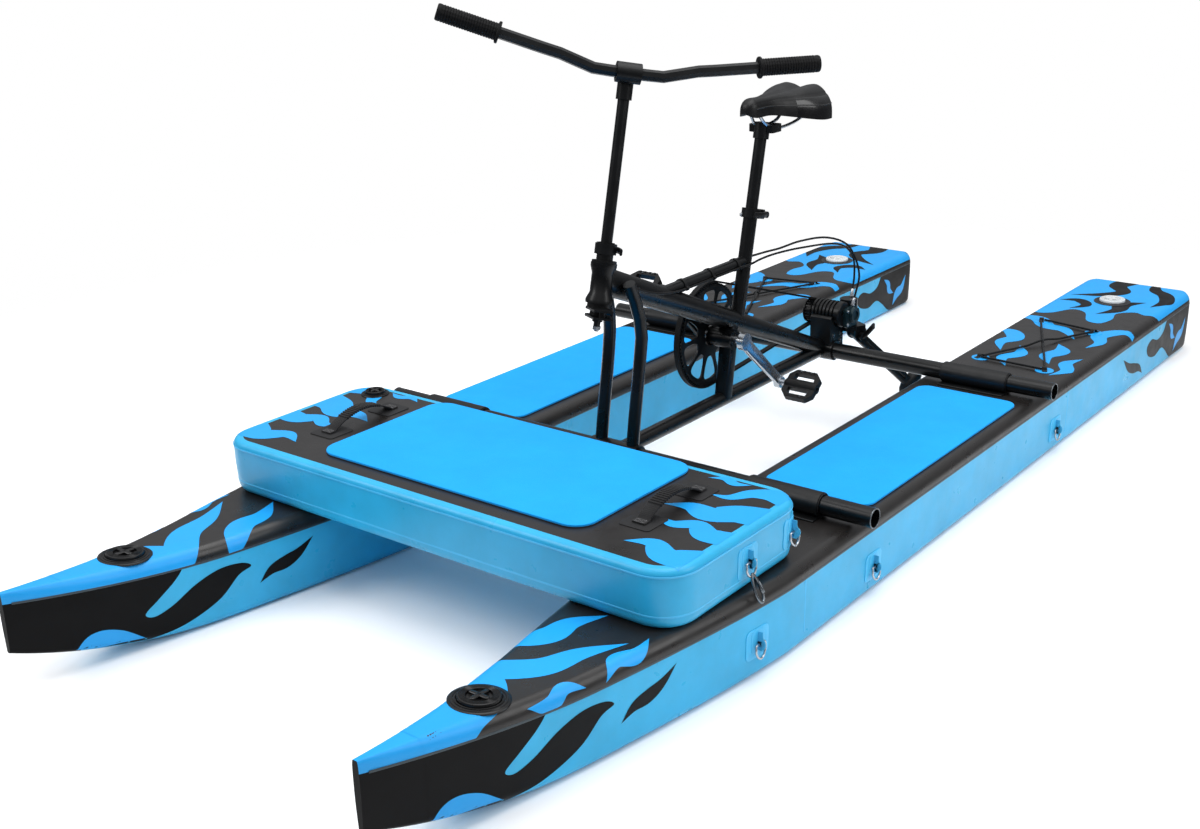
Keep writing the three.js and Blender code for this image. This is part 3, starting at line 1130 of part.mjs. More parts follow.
function gearbox() {
  const profile = [[0, DRUM.from]];
  let x = DRUM.from;
  while (x + DRUM.fin + DRUM.groove < DRUM.to - DRUM.fin) {
    profile.push([DRUM.radius, x], [DRUM.radius, x + DRUM.fin]);
    profile.push([DRUM.radius - DRUM.grooveDepth, x + DRUM.fin]);
    profile.push([DRUM.radius - DRUM.grooveDepth, x + DRUM.fin + DRUM.groove]);
    x += DRUM.fin + DRUM.groove;
  }
  profile.push([DRUM.radius, x], [DRUM.radius, DRUM.to - DRUM.edge]);
  profile.push([DRUM.radius - DRUM.edge, DRUM.to], [0, DRUM.to]);
  const drum = turned(profile, v(0, drumY, pulleyZ), X);
  const web = moved(new THREE.BoxGeometry(KINGPIN.lobe * webShare, KINGPIN.y - drumY, DRUM.webHeight),
    KINGPIN.x - DRUM.webIn, (KINGPIN.y + drumY) / 2, pulleyZ - DRUM.webDrop);
  return cut(
    joined(drum, web, kingRod(KINGPIN.lobe, lobeBottom, lobeTop)),
    kingRod(KINGPIN.radius + GAP * 2, lobeBottom - SUNK, lobeBottom + KINGPIN.depth + GAP),
    onPulley(slab(roundShape(DRUM.shaft + GAP), DRUM.shaftDepth + OVERRUN + GAP, 8), DRUM.from - OVERRUN),
  );
}
piece("gearbox", gearbox(), BLACK_METAL, bike);
// the cast side plate with its round boss and lug
const PLATE = {
  thickness: 8, boss: 19, bossOut: 9, lug: 8, lugHole: 3.2, halfTall: 24, halfLong: 26, corner: 11,
  back: 22, drop: 9, bossShift: 4, lugDrop: 4, lugThin: 2, pocket: 3,
};
const plateShares = { lugCorner: 0.9, pocket: 0.6 };
const plateFrom = DRUM.to + GAP;
function sidePlate() {
  const { thickness, bossShift, lugDrop, lug } = PLATE;
  const onPlate = (shape, out, y, z) =>
    placed(shape, v(plateFrom + out, drumY + PLATE.back + y, pulleyZ - PLATE.drop + z), X, Y);
  const lugShape = roundedShape(lug * 2, lug, lug * plateShares.lugCorner);
  return cut(
    joined(
      onPlate(slab(roundedShape(PLATE.halfLong, PLATE.halfTall, PLATE.corner), thickness, 2), 0, 0, 0),
      onPlate(slab(roundShape(PLATE.boss), thickness + PLATE.bossOut, 8), 0, bossShift, bossShift),
      onPlate(slab(lugShape, thickness - PLATE.lugThin, 2), PLATE.lugThin / 2, PLATE.halfLong, -lugDrop),
    ),
    onPlate(slab(roundShape(PLATE.lugHole), thickness * 3, 6), -thickness, PLATE.halfLong + lug, -lugDrop),
    onPlate(
      slab(roundShape(PLATE.boss * plateShares.pocket), thickness, 6),
      thickness + PLATE.bossOut - PLATE.pocket, bossShift, bossShift,
    ),
    kingRod(KINGPIN.lobe + GAP, 0, lobeTop + OVERRUN),
  );
}
piece("gearbox_plate", sidePlate(), TEAL_METAL, bike);
const BRACKET = {
  from: -24, to: 30, forward: 19, back: 41, corner: 6, windowLong: 11, windowTall: 6, windowBack: 2,
};
const bracketWindowShare = 0.14;
function driveBracket() {
  const tall = pulleyZ - beamZ;
  const middle = BEAM.rear + (BRACKET.back - BRACKET.forward) / 2;
  const profile = roundedShape((BRACKET.back + BRACKET.forward) / 2, tall / 2, BRACKET.corner);
  const window = new THREE.Path();
  window.absellipse(
    BRACKET.windowBack, -tall * bracketWindowShare, BRACKET.windowLong, BRACKET.windowTall, 0, TURN, true, 0,
  );
  const drumTool = bar(
    v(DRUM.from * 2, drumY, pulleyZ), v(DRUM.to * 2, drumY, pulleyZ),
    roundShape(DRUM.radius + GAP * 3), 10, Z,
  );
  const block = across(profile, BRACKET.to - BRACKET.from, (BRACKET.to + BRACKET.from) / 2, 4);
  const body = moved(block, 0, middle, beamZ + tall / 2);
  return cut(
    body, collarTool(BEAM.rear), drumTool, mainTool, kingRod(KINGPIN.lobe + GAP, 0, lobeTop),
  );
}
piece("drive_bracket", driveBracket(), BLACK_METAL, bike);

// Steered and tilting drive leg. It is drawn hanging straight down and pointing astern, then
// tipped up to where it rests and swung to the side that the bar steers it to
const YOKE = {
  disc: 23, up: 34.7, reach: 24, pivotUp: 19.7, cheek: 6, inner: 13.5, cheekRadius: 15, pin: 5,
  pinOut: 3, pinHead: 4, corner: 5,
};
const discBottom = beamZ + YOKE.up;
const pivotZ = beamZ + YOKE.pivotUp;
const CAM = {
  radius: 9, width: 12, cap: 2, leafOut: 24, leafBack: 16, leafUp: 31, leafHalf: 8, leafThickness: 3.2,
  edge: 2.4,
};
// along the lever's leaf: shares of how far it goes out, back and up
const LEAF_SHARES = [[0, 0, 0], [0.25, 0.5, 0.26], [0.583, 0.875, 0.645], [1, 1, 1]];
const LEG_TILT = THREE.MathUtils.degToRad(46.5);
const LEG_SWING = -STEER_TURN * STEER_SHARE;
const kingPoint = v(KINGPIN.x, KINGPIN.y, 0);
const swung = (shape) => turnedAbout(shape, kingPoint, Z, LEG_SWING);
const legPivot = v(KINGPIN.x, KINGPIN.y + YOKE.reach, pivotZ);
const tipped = (shape) => swung(turnedAbout(shape, legPivot, X, LEG_TILT));
const pivotRod = (radius, from, to, segments = 5) => bar(
  legPivot.clone().addScaledVector(X, from), legPivot.clone().addScaledVector(X, to),
  roundShape(radius), segments, Z,
);
const cheekSpan = YOKE.inner + YOKE.cheek;
function yoke() {
  const cheek = (side) => joined(
    pivotRod(YOKE.cheekRadius, side * YOKE.inner, side * cheekSpan, 12),
    moved(
      new THREE.BoxGeometry(YOKE.cheek, YOKE.cheekRadius * 2, discBottom - pivotZ + SUNK),
      legPivot.x + side * (YOKE.inner + YOKE.cheek / 2), legPivot.y,
      (discBottom + SUNK + pivotZ) / 2,
    ),
  );
  const deckHalf = (YOKE.reach + YOKE.cheekRadius) / 2;
  const deck = moved(
    slab(roundedShape(cheekSpan, deckHalf, YOKE.corner), lobeBottom - discBottom - GAP, 4),
    KINGPIN.x, KINGPIN.y + deckHalf, discBottom,
  );
  return joined(
    kingRod(YOKE.disc, discBottom, lobeBottom - GAP), deck, cheek(1), cheek(-1),
    kingRod(KINGPIN.radius, discBottom, lobeBottom + KINGPIN.depth),
    pivotRod(YOKE.pin, -cheekSpan - YOKE.pinOut, cheekSpan + GAP + CAM.width - CAM.cap),
    pivotRod(YOKE.pin + YOKE.pinHead, -cheekSpan - YOKE.pinOut, -cheekSpan + SUNK, 6),
  );
}
piece("steering_yoke", swung(yoke()), BLACK_METAL, bike);

const LEG_TUBE = {
  halfWide: 10, halfLong: 13, corner: 6, length: 214, topRadius: 12.5,
  flute: 3.6, fluteOut: 1, fluteFrom: 30, fluteTo: 26,
};
const POD = {
  radius: 17, front: 34, rear: 32, nose: 12, tip: 2, noseBack: 9, fullBack: 22, tail: 8, tailIn: 3,
  shaft: 4.8, shaftDepth: 14,
};
const legDown = (drop, back = 0) => v(legPivot.x, legPivot.y + back, legPivot.z - drop);
function driveLeg() {
  const shape = roundedShape(LEG_TUBE.halfWide, LEG_TUBE.halfLong, LEG_TUBE.corner);
  const fluteAt = (drop, side) =>
    legDown(drop).addScaledVector(X, side * (LEG_TUBE.halfWide + LEG_TUBE.fluteOut));
  const flutes = [-1, 1].map((side) => bar(
    fluteAt(LEG_TUBE.fluteFrom, side), fluteAt(LEG_TUBE.length - LEG_TUBE.fluteTo, side),
    roundShape(LEG_TUBE.flute), 3,
  ));
  return cut(
    joined(
      bar(legDown(0), legDown(LEG_TUBE.length - POD.radius / 2), shape, 4),
      pivotRod(LEG_TUBE.topRadius, -YOKE.inner + GAP, YOKE.inner - GAP, 12),
    ),
    pivotRod(YOKE.pin + GAP * 2, -cheekSpan, cheekSpan), ...flutes,
  );
}
const podRod = (radius, from, to, segments = 6) =>
  bar(legDown(LEG_TUBE.length, from), legDown(LEG_TUBE.length, to), roundShape(radius), segments);
const pod = cut(turned([
  [0, -POD.front], [POD.nose / 2, POD.tip - POD.front], [POD.nose, POD.noseBack - POD.front],
  [POD.radius, POD.fullBack - POD.front], [POD.radius, POD.rear - POD.tail],
  [POD.radius - POD.tailIn, POD.rear], [0, POD.rear],
], legDown(LEG_TUBE.length), Y, 20), podRod(POD.shaft + GAP, POD.rear - POD.shaftDepth, POD.rear * 2, 8));
piece("drive_leg", tipped(joined(driveLeg(), pod)), BLACK_METAL, bike);

const PROP = {
  hub: 13, hubLength: 30, hubEdge: 2, hubRise: 3, radius: 104, rootChord: 30, tipChord: 26, thickness: 3.4,
};
const PROP_SHARES = {
  radii: [0.1, 0.3, 0.5, 0.7, 0.88, 0.97, 1], tipChord: 0.245, tipPower: 8, rootThickness: 1.2, thinning: 0.7,
  hubFull: 0.7,
};
const PROP_PITCH = { root: THREE.MathUtils.degToRad(58), tip: THREE.MathUtils.degToRad(24) };
function blade(turn) {
  const centre = legDown(LEG_TUBE.length, POD.rear + GAP * 2 + PROP.hubLength / 2);
  const loops = PROP_SHARES.radii.map((share) => {
    const radius = PROP.radius * share;
    const fullness = Math.max(PROP_SHARES.tipChord, Math.sqrt(1 - share ** PROP_SHARES.tipPower));
    const chord = THREE.MathUtils.lerp(PROP.rootChord, PROP.tipChord, share) * fullness;
    const pitch = THREE.MathUtils.lerp(PROP_PITCH.root, PROP_PITCH.tip, share);
    const thick = PROP.thickness * (PROP_SHARES.rootThickness - PROP_SHARES.thinning * share);
    return ovalShape(chord / 2, thick).getPoints(4).slice(0, -1).map((p) => {
      const along = p.x * Math.cos(pitch) - p.y * Math.sin(pitch);
      const back = p.x * Math.sin(pitch) + p.y * Math.cos(pitch);
      return v(centre.x + radius, centre.y + back, centre.z + along);
    });
  });
  return turnedAbout(loft(loops), centre, Y, turn);
}
const propHub = turned([
  [0, 0], [PROP.hub - PROP.hubEdge, 0], [PROP.hub, PROP.hubRise],
  [PROP.hub, PROP.hubLength * PROP_SHARES.hubFull], [PROP.hub / 2, PROP.hubLength], [0, PROP.hubLength],
], legDown(LEG_TUBE.length, POD.rear + GAP), Y, 18);
const propShaft = podRod(POD.shaft, POD.rear - POD.shaftDepth + SUNK, POD.rear + GAP + PROP.hubRise, 8);
piece("propeller", tipped(joined(propHub, propShaft, blade(0), blade(TURN / 2))), BLACK_PLASTIC, bike);

// the cam lever on the tilt pin
function tiltLever() {
  const from = cheekSpan + GAP;
  const leafStart = legPivot.clone().add(v(from + CAM.width / 2, 0, 0));
  const leafPath = LEAF_SHARES.map(([out, back, up]) =>
    leafStart.clone().add(v(CAM.leafOut * out, CAM.leafBack * back, CAM.leafUp * up)));
  const leaf = bent(leafPath, roundedShape(CAM.leafHalf, CAM.leafThickness, CAM.edge), 5, 1);
  return cut(
    joined(pivotRod(CAM.radius, from, from + CAM.width), leaf),
    pivotRod(YOKE.pin + GAP * 2, 0, from + CAM.width - CAM.cap + GAP),
  );
}
piece("tilt_lever", swung(tiltLever()), BLACK_METAL, bike);

// Steering cables. They lie along the main tube's and the top tube's sides, pass the seat tube and
// arch over to the gearbox, where one ends on the kingpin's lobe and the other on the side plate.
// Points on the bike, the heights above the beams
const CABLE_RADIUS = 2.4;
const CABLE_POINTS = {
  left: [
    [22.4, -330, 321.7], [22.3, -275, 301.7], [20.6, -230, 290.7], [17.2, -190, 284.7], [14.4, -140, 281.7],
    [14.4, -60, 281.7], [14.4, 20, 281.7], [16.4, 60, 282.2], [18.2, 88, 282.7], [16, 120, 283.7], [11, 168, 281.7],
    [8, 224, 277.7], [9, 303, 270.7], [15, 428, 255.7], [18, 495, 234.7], [21, 530, 200.7], [24, 532, 159.7],
    [26, 522, 127.7], [27, 517, 111.7],
  ],
  right: [
    [-22.4, -330, 321.7], [-22.3, -275, 301.7], [-20.6, -230, 290.7], [-17.2, -190, 284.7], [-14.4, -140, 281.7],
    [-14.4, -60, 281.7], [-14.4, 20, 281.7], [-16.4, 60, 282.2], [-18.2, 88, 282.7], [-14, 124, 284.7],
    [1, 166, 288.7], [14, 207, 290.7], [22, 279, 292.7], [32, 372, 283.7], [42, 448, 256.7], [49, 485, 216.7],
    [54, 500, 168.7], [49, 492, 122.7], [46.3, 486, 99.6],
  ],
};
const cable = (points) => bent(points.map(([x, y, up]) => v(x, y, beamZ + up)), roundShape(CABLE_RADIUS), 34, 3);
piece("steering_cable_left", cable(CABLE_POINTS.left), BLACK_PLASTIC, bike);
piece("steering_cable_right", cable(CABLE_POINTS.right), BLACK_PLASTIC, bike);

// the origin goes to the middle of the length
const midShip = (FLOAT.stern + FLOAT.bow) / 2;
boat.position.y = -midShip;
const model = new THREE.Group();
model.add(boat);

export default model;
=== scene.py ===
# %% [markdown]
# # Pontoon water bike
# Two inflatable floats, a strapped-on front platform and a bicycle frame on two cross beams.
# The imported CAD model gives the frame: metres, +Z up, bows towards -Y, the rider's left is +X.
# Skins, pads, saddle, webbing, cords and small fittings are made here over the CAD solids.

# %% Load the frame
import math

import bmesh
import bpy
from mathutils import Matrix, Vector, geometry
from mathutils.bvhtree import BVHTree


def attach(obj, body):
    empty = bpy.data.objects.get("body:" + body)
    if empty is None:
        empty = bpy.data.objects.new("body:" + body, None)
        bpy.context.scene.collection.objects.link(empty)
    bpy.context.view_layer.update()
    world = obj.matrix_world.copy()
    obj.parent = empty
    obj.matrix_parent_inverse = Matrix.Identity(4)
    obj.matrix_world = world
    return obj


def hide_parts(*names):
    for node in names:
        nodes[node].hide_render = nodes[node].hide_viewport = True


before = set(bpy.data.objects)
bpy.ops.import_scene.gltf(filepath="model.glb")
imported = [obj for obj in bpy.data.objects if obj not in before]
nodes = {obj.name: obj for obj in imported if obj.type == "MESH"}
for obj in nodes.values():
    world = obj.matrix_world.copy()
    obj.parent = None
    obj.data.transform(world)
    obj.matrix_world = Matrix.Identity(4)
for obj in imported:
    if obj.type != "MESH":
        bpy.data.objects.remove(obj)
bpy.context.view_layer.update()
TURN = math.tau
MM = 0.001
X, Y, Z = Vector((1, 0, 0)), Vector((0, 1, 0)), Vector((0, 0, 1))
MIDSHIP = 19.5  # mm, from the CAD drawing's origin to the middle of the length
BIKE_SET = 18  # mm, the bike's mid-plane from the floats' middle


def at(x, y, z):
    """A point of the CAD drawing, in its millimetres, as metres in the frame."""
    return Vector((x, y - MIDSHIP, z)) * MM


def on_bike(x, y, z):
    return at(x + BIKE_SET, y, z)


def linked(name, data):
    """A new object in the scene."""
    made = bpy.data.objects.new(name, data)
    bpy.context.scene.collection.objects.link(made)
    return made


def feed(tree, node, inputs):
    """Gives a node's inputs their values, or the sockets that feed them."""
    for name, value in inputs.items():
        if isinstance(value, bpy.types.NodeSocket):
            tree.links.new(value, node.inputs[name])
        else:
            node.inputs[name].default_value = value


def new_node(tree, kind, inputs=None, **settings):
    node = tree.nodes.new(kind)
    for name, value in settings.items():
        setattr(node, name, value)
    feed(tree, node, inputs or {})
    return node


def ramp(tree, value, *stops):
    """A colour ramp over (position, colour) stops."""
    node = new_node(tree, "ShaderNodeValToRGB", {"Fac": value})
    elements = node.color_ramp.elements
    elements[0].position, elements[1].position = stops[0][0], stops[-1][0]
    for position, _ in stops[1:-1]:
        elements.new(position)
    for element, (_, colour) in zip(elements, stops):
        element.color = colour
    return node.outputs["Color"]


# %% [markdown]
# ## Camera, light and floor
# The bike was photographed on white, from off the rider's left bow. A backdrop could give the
# white, but it would stand in the light's way from other sides, so the floor turns clear some way
# out and the world is white to the camera alone. Three soft square lamps, and a sky that is dim at
# the horizon, keep the decks bright and the walls deep.

# %% Camera, lamps and floor
CAMERA_PLACE, CAMERA_AHEAD, CAMERA_ROLL = (1.687, -2.5635, 1.251), (-0.5814, 0.7383, -0.3418), -1.471
FOCAL_LENGTH, SENSOR_WIDTH = 44.83, 36
FLOOR_HALF, FLOOR_CLEARS = 14, (1.2, 2.6)  # m: it ends in white between these distances


def make_camera():
    ahead = Vector(CAMERA_AHEAD).normalized()
    level = ahead.cross(Z).normalized()
    roll = math.radians(CAMERA_ROLL)
    right = level * math.cos(roll) + level.cross(ahead) * math.sin(roll)
    up = level.cross(ahead) * math.cos(roll) - level * math.sin(roll)
    data = bpy.data.cameras.new("camera")
    data.lens, data.sensor_width = FOCAL_LENGTH, SENSOR_WIDTH
    data.clip_start, data.clip_end = 0.05, 60
    camera = linked("camera", data)
    camera.matrix_world = (
        Matrix.Translation(CAMERA_PLACE) @ Matrix((right, up, -ahead)).transposed().to_4x4()
    )
    bpy.context.scene.camera = camera


def soft_box(name, place, aim, size, watts):
    data = bpy.data.lights.new(name, "AREA")
    data.shape, data.size, data.energy = "SQUARE", size, watts
    lamp = linked(name, data)
    lamp.location = place
    lamp.rotation_mode = "QUATERNION"
    lamp.rotation_quaternion = (Vector(aim) - Vector(place)).to_track_quat("-Z", "Y")


def make_studio():
    world = bpy.data.worlds.new("studio")
    bpy.context.scene.world = world
    world.use_nodes = True
    tree = world.node_tree
    tree.nodes.clear()
    # a bright sky over a dim horizon, so that decks shine and walls stay deep
    place = new_node(tree, "ShaderNodeTexCoord").outputs["Generated"]
    height = new_node(tree, "ShaderNodeSeparateXYZ", {0: place}).outputs["Z"]
    sky = ramp(
        tree, height, (0.02, (0.16, 0.165, 0.175, 1)), (0.38, (0.46, 0.47, 0.49, 1)),
        (0.85, (1.15, 1.17, 1.2, 1)),
    )
    light = new_node(tree, "ShaderNodeBackground", {"Color": sky, "Strength": 0.9})
    seen = new_node(tree, "ShaderNodeBackground", {"Color": (1, 1, 1, 1), "Strength": 1})
    mix = new_node(tree, "ShaderNodeMixShader", {
        0: new_node(tree, "ShaderNodeLightPath").outputs["Is Camera Ray"],
        1: light.outputs[0], 2: seen.outputs[0],
    })
    new_node(tree, "ShaderNodeOutputWorld", {0: mix.outputs[0]})
    soft_box("overhead", (0.5, -0.2, 4.2), (0, 0, 0), 3.6, 120)
    soft_box("key", (-2.6, -3.0, 3.2), (0, 0, 0.2), 2.2, 70)
    soft_box("side", (3.6, 0.6, 2.2), (0.3, 0, 0.2), 2.0, 40)


def make_floor():
    mesh = bpy.data.meshes.new("floor")
    bm = bmesh.new()
    bmesh.ops.create_grid(bm, x_segments=8, y_segments=8, size=FLOOR_HALF)
    bm.to_mesh(mesh)
    bm.free()
    floor = linked("floor", mesh)
    floor.location = (0, 0, -0.001)
    mat = bpy.data.materials.new("floor")
    mat.use_nodes = True
    tree = mat.node_tree
    shader = tree.nodes["Principled BSDF"]
    feed(tree, shader, {"Base Color": (0.97, 0.97, 0.97, 1), "Roughness": 0.9, "Specular IOR Level": 0.05})
    # from some way out the floor clears, so that it ends in the white round it
    place = new_node(tree, "ShaderNodeNewGeometry").outputs["Position"]
    reach = new_node(tree, "ShaderNodeVectorMath", {0: place}, operation="LENGTH")
    span = new_node(tree, "ShaderNodeMapRange", {
        "Value": reach.outputs["Value"], "From Min": FLOOR_CLEARS[0], "From Max": FLOOR_CLEARS[1],
    }, interpolation_type="SMOOTHSTEP")
    clear = new_node(tree, "ShaderNodeBsdfTransparent")
    mix = new_node(tree, "ShaderNodeMixShader", {
        0: span.outputs["Result"], 1: shader.outputs[0], 2: clear.outputs[0],
    })
    tree.links.new(mix.outputs[0], tree.nodes["Material Output"].inputs["Surface"])
    mesh.materials.append(mat)


make_camera()
make_studio()
make_floor()
view_settings = bpy.context.scene.view_settings
view_settings.view_transform = "Standard"
print(f"camera at {CAMERA_PLACE}, {FOCAL_LENGTH} mm")


# %% [markdown]
# ## Materials
# The real pieces are coated vinyl skin, printed ink, foam sheet, woven webbing, painted and bare
# metal and moulded plastic. Each could have a node tree of its own, but they differ only in colour,
# gloss and relief, so one builder gives every surface its colour drift, its gloss drift and its
# layers of relief. All of it reads object coordinates, so that nothing is a flat colour and no
# pattern slides.

# %% Looks
DRIFT_SCALE = 9


def linear(hex_colour):
    """A display colour as the renderer's linear value."""
    out = []
    for i in (0, 2, 4):
        s = int(hex_colour[i:i + 2], 16) / 255
        out.append(s / 12.92 if s <= 0.04045 else ((s + 0.055) / 1.055) ** 2.4)
    return out


def pattern(tree, place, kind, scale):
    """A grey pattern: noise, cells, weave or brushed."""
    if kind == "cells":
        return new_node(tree, "ShaderNodeTexVoronoi", {"Vector": place, "Scale": scale}).outputs["Distance"]
    if kind == "weave":
        bands = [new_node(tree, "ShaderNodeTexWave", {
            "Vector": place, "Scale": scale, "Distortion": 0.6, "Detail Scale": 2,
        }, bands_direction=direction).outputs["Fac"] for direction in "XYZ"]
        value = bands[0]
        for band in bands[1:]:
            value = new_node(tree, "ShaderNodeMath", {0: value, 1: band}, operation="MAXIMUM").outputs[0]
        return value
    detail = 4
    if kind == "brushed":
        stretched = new_node(tree, "ShaderNodeMapping", {"Vector": place, "Scale": (1, 0.04, 1)})
        place = stretched.outputs["Vector"]
        detail = 3
    return new_node(tree, "ShaderNodeTexNoise", {
        "Vector": place, "Scale": scale, "Detail": detail,
    }).outputs["Fac"]


def surface(
    name, colour, rough, drift, relief, specular=0.5, metal=0.0, coat=0.0, coat_rough=0.1, sheen=0.0,
    gloss_drift=0.1, tint=None,
):
    """relief: (kind, scale per metre, height in mm); tint: a colour and its share in the low drift."""
    mat = bpy.data.materials.new(name)
    mat.use_nodes = True
    tree = mat.node_tree
    place = new_node(tree, "ShaderNodeTexCoord").outputs["Object"]
    base = linear(colour)
    low = [c * (1 - drift) for c in base]
    high = [min(1, c * (1 + drift)) for c in base]
    if tint:
        low = [a * (1 - tint[1]) + b * tint[1] for a, b in zip(low, linear(tint[0]))]
    cloud = new_node(tree, "ShaderNodeTexNoise", {
        "Vector": place, "Scale": DRIFT_SCALE, "Detail": 6, "Roughness": 0.62,
    })
    smear = new_node(tree, "ShaderNodeTexNoise", {"Vector": place, "Scale": DRIFT_SCALE * 3.1, "Detail": 8})
    gloss = new_node(tree, "ShaderNodeMapRange", {
        "Value": smear.outputs["Fac"], "From Min": 0.25, "From Max": 0.75,
        "To Min": max(0.02, rough - gloss_drift), "To Max": min(1, rough + gloss_drift),
    })
    shader = tree.nodes["Principled BSDF"]
    feed(tree, shader, {
        "Base Color": ramp(tree, cloud.outputs["Fac"], (0.3, (*low, 1)), (0.7, (*high, 1))),
        "Roughness": gloss.outputs["Result"], "Metallic": metal, "Specular IOR Level": specular,
        "Coat Weight": coat, "Coat Roughness": coat_rough, "Sheen Weight": sheen,
    })
    normal = {}
    for kind, scale, height in relief:
        bump = new_node(tree, "ShaderNodeBump", {
            "Height": pattern(tree, place, kind, scale), "Strength": 1, "Distance": height * MM, **normal,
        })
        normal = {"Normal": bump.outputs["Normal"]}
    feed(tree, shader, normal)
    return mat


SKIN = (("noise", 5, 1.2), ("cells", 900, 0.03))
LOOKS = {  # colour, roughness, drift, relief, and what differs from the defaults
    "skin_blue": ("2ba9da", 0.33, 0.05, SKIN, dict(specular=0.35, gloss_drift=0.08, tint=("228fb6", 0.35))),
    "skin_black": ("1b1918", 0.32, 0.16, SKIN, dict(specular=0.45, gloss_drift=0.09)),
    "nose_black": ("030304", 0.36, 0.2, SKIN, dict(specular=0.1, gloss_drift=0.08)),
    "print_blue": ("1c9ae2", 0.36, 0.04, SKIN, dict(specular=0.3, gloss_drift=0.08)),
    "print_black": ("040405", 0.36, 0.2, SKIN, dict(specular=0.12, gloss_drift=0.08)),
    "strap_blue": ("2fa6d6", 0.6, 0.08, [("weave", 420, 0.18)], dict(sheen=0.2)),
    "dark_steel": ("6d7378", 0.24, 0.2, [("noise", 500, 0.05)], dict(metal=0.95, tint=("3a3e42", 0.5))),
    "dark_plastic": ("1c1c1e", 0.4, 0.2, [("noise", 700, 0.05)], {}),
    "webbing_patch": ("0e0e10", 0.55, 0.15, [("weave", 240, 0.12), ("noise", 40, 0.2)],
                      dict(specular=0.3, sheen=0.05)),
    "thread": ("6a6a6c", 0.7, 0.1, [("noise", 3000, 0.05)], {}),
    "seam_tape": ("26343c", 0.4, 0.2, [("noise", 60, 0.2)], {}),
    "tape_blue": ("3fb4e6", 0.42, 0.06, [("noise", 40, 0.2), ("cells", 700, 0.05)], {}),
    "foam": ("1199e6", 0.8, 0.05, [("cells", 620, 0.22), ("noise", 30, 0.25)],
             dict(sheen=0.05, specular=0.15, gloss_drift=0.06)),
    "foam_core": ("1a1c1f", 0.85, 0.15, [("cells", 700, 0.2)], {}),
    "frame_paint": ("050607", 0.3, 0.2, [("noise", 260, 0.012)],
                    dict(coat=0.15, coat_rough=0.2, specular=0.22, gloss_drift=0.07)),
    "black_metal": ("060708", 0.36, 0.25, [("noise", 420, 0.08)],
                    dict(metal=0.05, specular=0.25, tint=("101113", 0.4))),
    "bright_metal": ("b9bdc2", 0.26, 0.1, [("brushed", 900, 0.05)], dict(metal=0.95, tint=("8b9095", 0.5))),
    "teal_metal": ("142a30", 0.34, 0.25, [("noise", 600, 0.12)], dict(metal=0.4)),
    "black_plastic": ("0a0a0b", 0.5, 0.2, [("cells", 1500, 0.06)], dict(specular=0.25)),
    "pale_plastic": ("d3d7d8", 0.42, 0.05, [("noise", 500, 0.04)],
                     dict(gloss_drift=0.08, tint=("aeb4b6", 0.5))),
    "sleeve_rubber": ("0a0b0c", 0.42, 0.2, [("noise", 14, 0.6), ("weave", 130, 0.05)],
                      dict(specular=0.3, gloss_drift=0.12)),
    "grip_rubber": ("070708", 0.72, 0.2, [("cells", 900, 0.12)], dict(specular=0.2)),
    "belt_rubber": ("080809", 0.66, 0.2, [("noise", 700, 0.08)], dict(specular=0.2)),
    "webbing": ("0b0b0d", 0.8, 0.2, [("weave", 190, 0.35), ("noise", 900, 0.1)],
                dict(specular=0.25, sheen=0.12)),
    "cord": ("06090d", 0.75, 0.25, [("weave", 260, 0.3)], dict(specular=0.2, sheen=0.08)),
    "saddle_skin": ("09090a", 0.38, 0.2, [("cells", 520, 0.16), ("noise", 25, 0.4)], dict(specular=0.3)),
    "saddle_gloss": ("050506", 0.2, 0.2, [("noise", 300, 0.03)],
                     dict(specular=0.4, coat=0.4, coat_rough=0.08)),
    "cable_black": ("060607", 0.4, 0.2, [("noise", 800, 0.05)], dict(specular=0.25)),
    "valve_black": ("080809", 0.3, 0.2, [("noise", 700, 0.05)], dict(specular=0.35)),
}
MATERIALS = {
    name: surface(name, colour, rough, drift, relief, **rest)
    for name, (colour, rough, drift, relief, rest) in LOOKS.items()
}
print(f"{len(MATERIALS)} materials")


# %% [markdown]
# ## Mesh helpers
# Most pieces are skins, straps, rods or turned parts. They could be modelled by hand with
# operators; here they are computed from sections, profiles and paths, because they follow curved
# skins and CAD nodes that only a ray or a formula gives. Sections and profiles are in millimetres,
# paths and meshes in metres.

# %% Helpers for meshes
def add(name, mesh, looks, body="boat", replaces=(), smooth=35):
    """Puts a mesh into the scene as a piece that rides on a body, with its looks as its materials."""
    piece = linked(name, mesh)
    looks = looks if isinstance(looks, list) else [looks]
    for look in looks:
        mesh.materials.append(MATERIALS[look])
    if smooth:
        mesh.shade_smooth()
        mesh.set_sharp_from_angle(angle=math.radians(smooth))
    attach(piece, body)
    if replaces:
        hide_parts(*replaces)
    print(f"{name}: {len(mesh.polygons)} faces, rides on {body}")
    return piece


def recalculated(mesh, weld=0.0):
    """The mesh with its doubles merged within a distance, and its normals out."""
    bm = bmesh.new()
    bm.from_mesh(mesh)
    if weld:
        bmesh.ops.remove_doubles(bm, verts=bm.verts, dist=weld)
    bmesh.ops.recalc_face_normals(bm, faces=bm.faces)
    bm.to_mesh(mesh)
    bm.free()
    return mesh


def mesh_of(name, points, faces, marks=None):
    mesh = bpy.data.meshes.new(name)
    mesh.from_pydata([tuple(p) for p in points], [], faces)
    if marks:
        for polygon, mark in zip(mesh.polygons, marks):
            polygon.material_index = mark
    mesh.validate()
    return recalculated(mesh)


def tree_of(mesh):
    return BVHTree.FromPolygons(
        [v.co.copy() for v in mesh.vertices], [tuple(p.vertices) for p in mesh.polygons]
    )


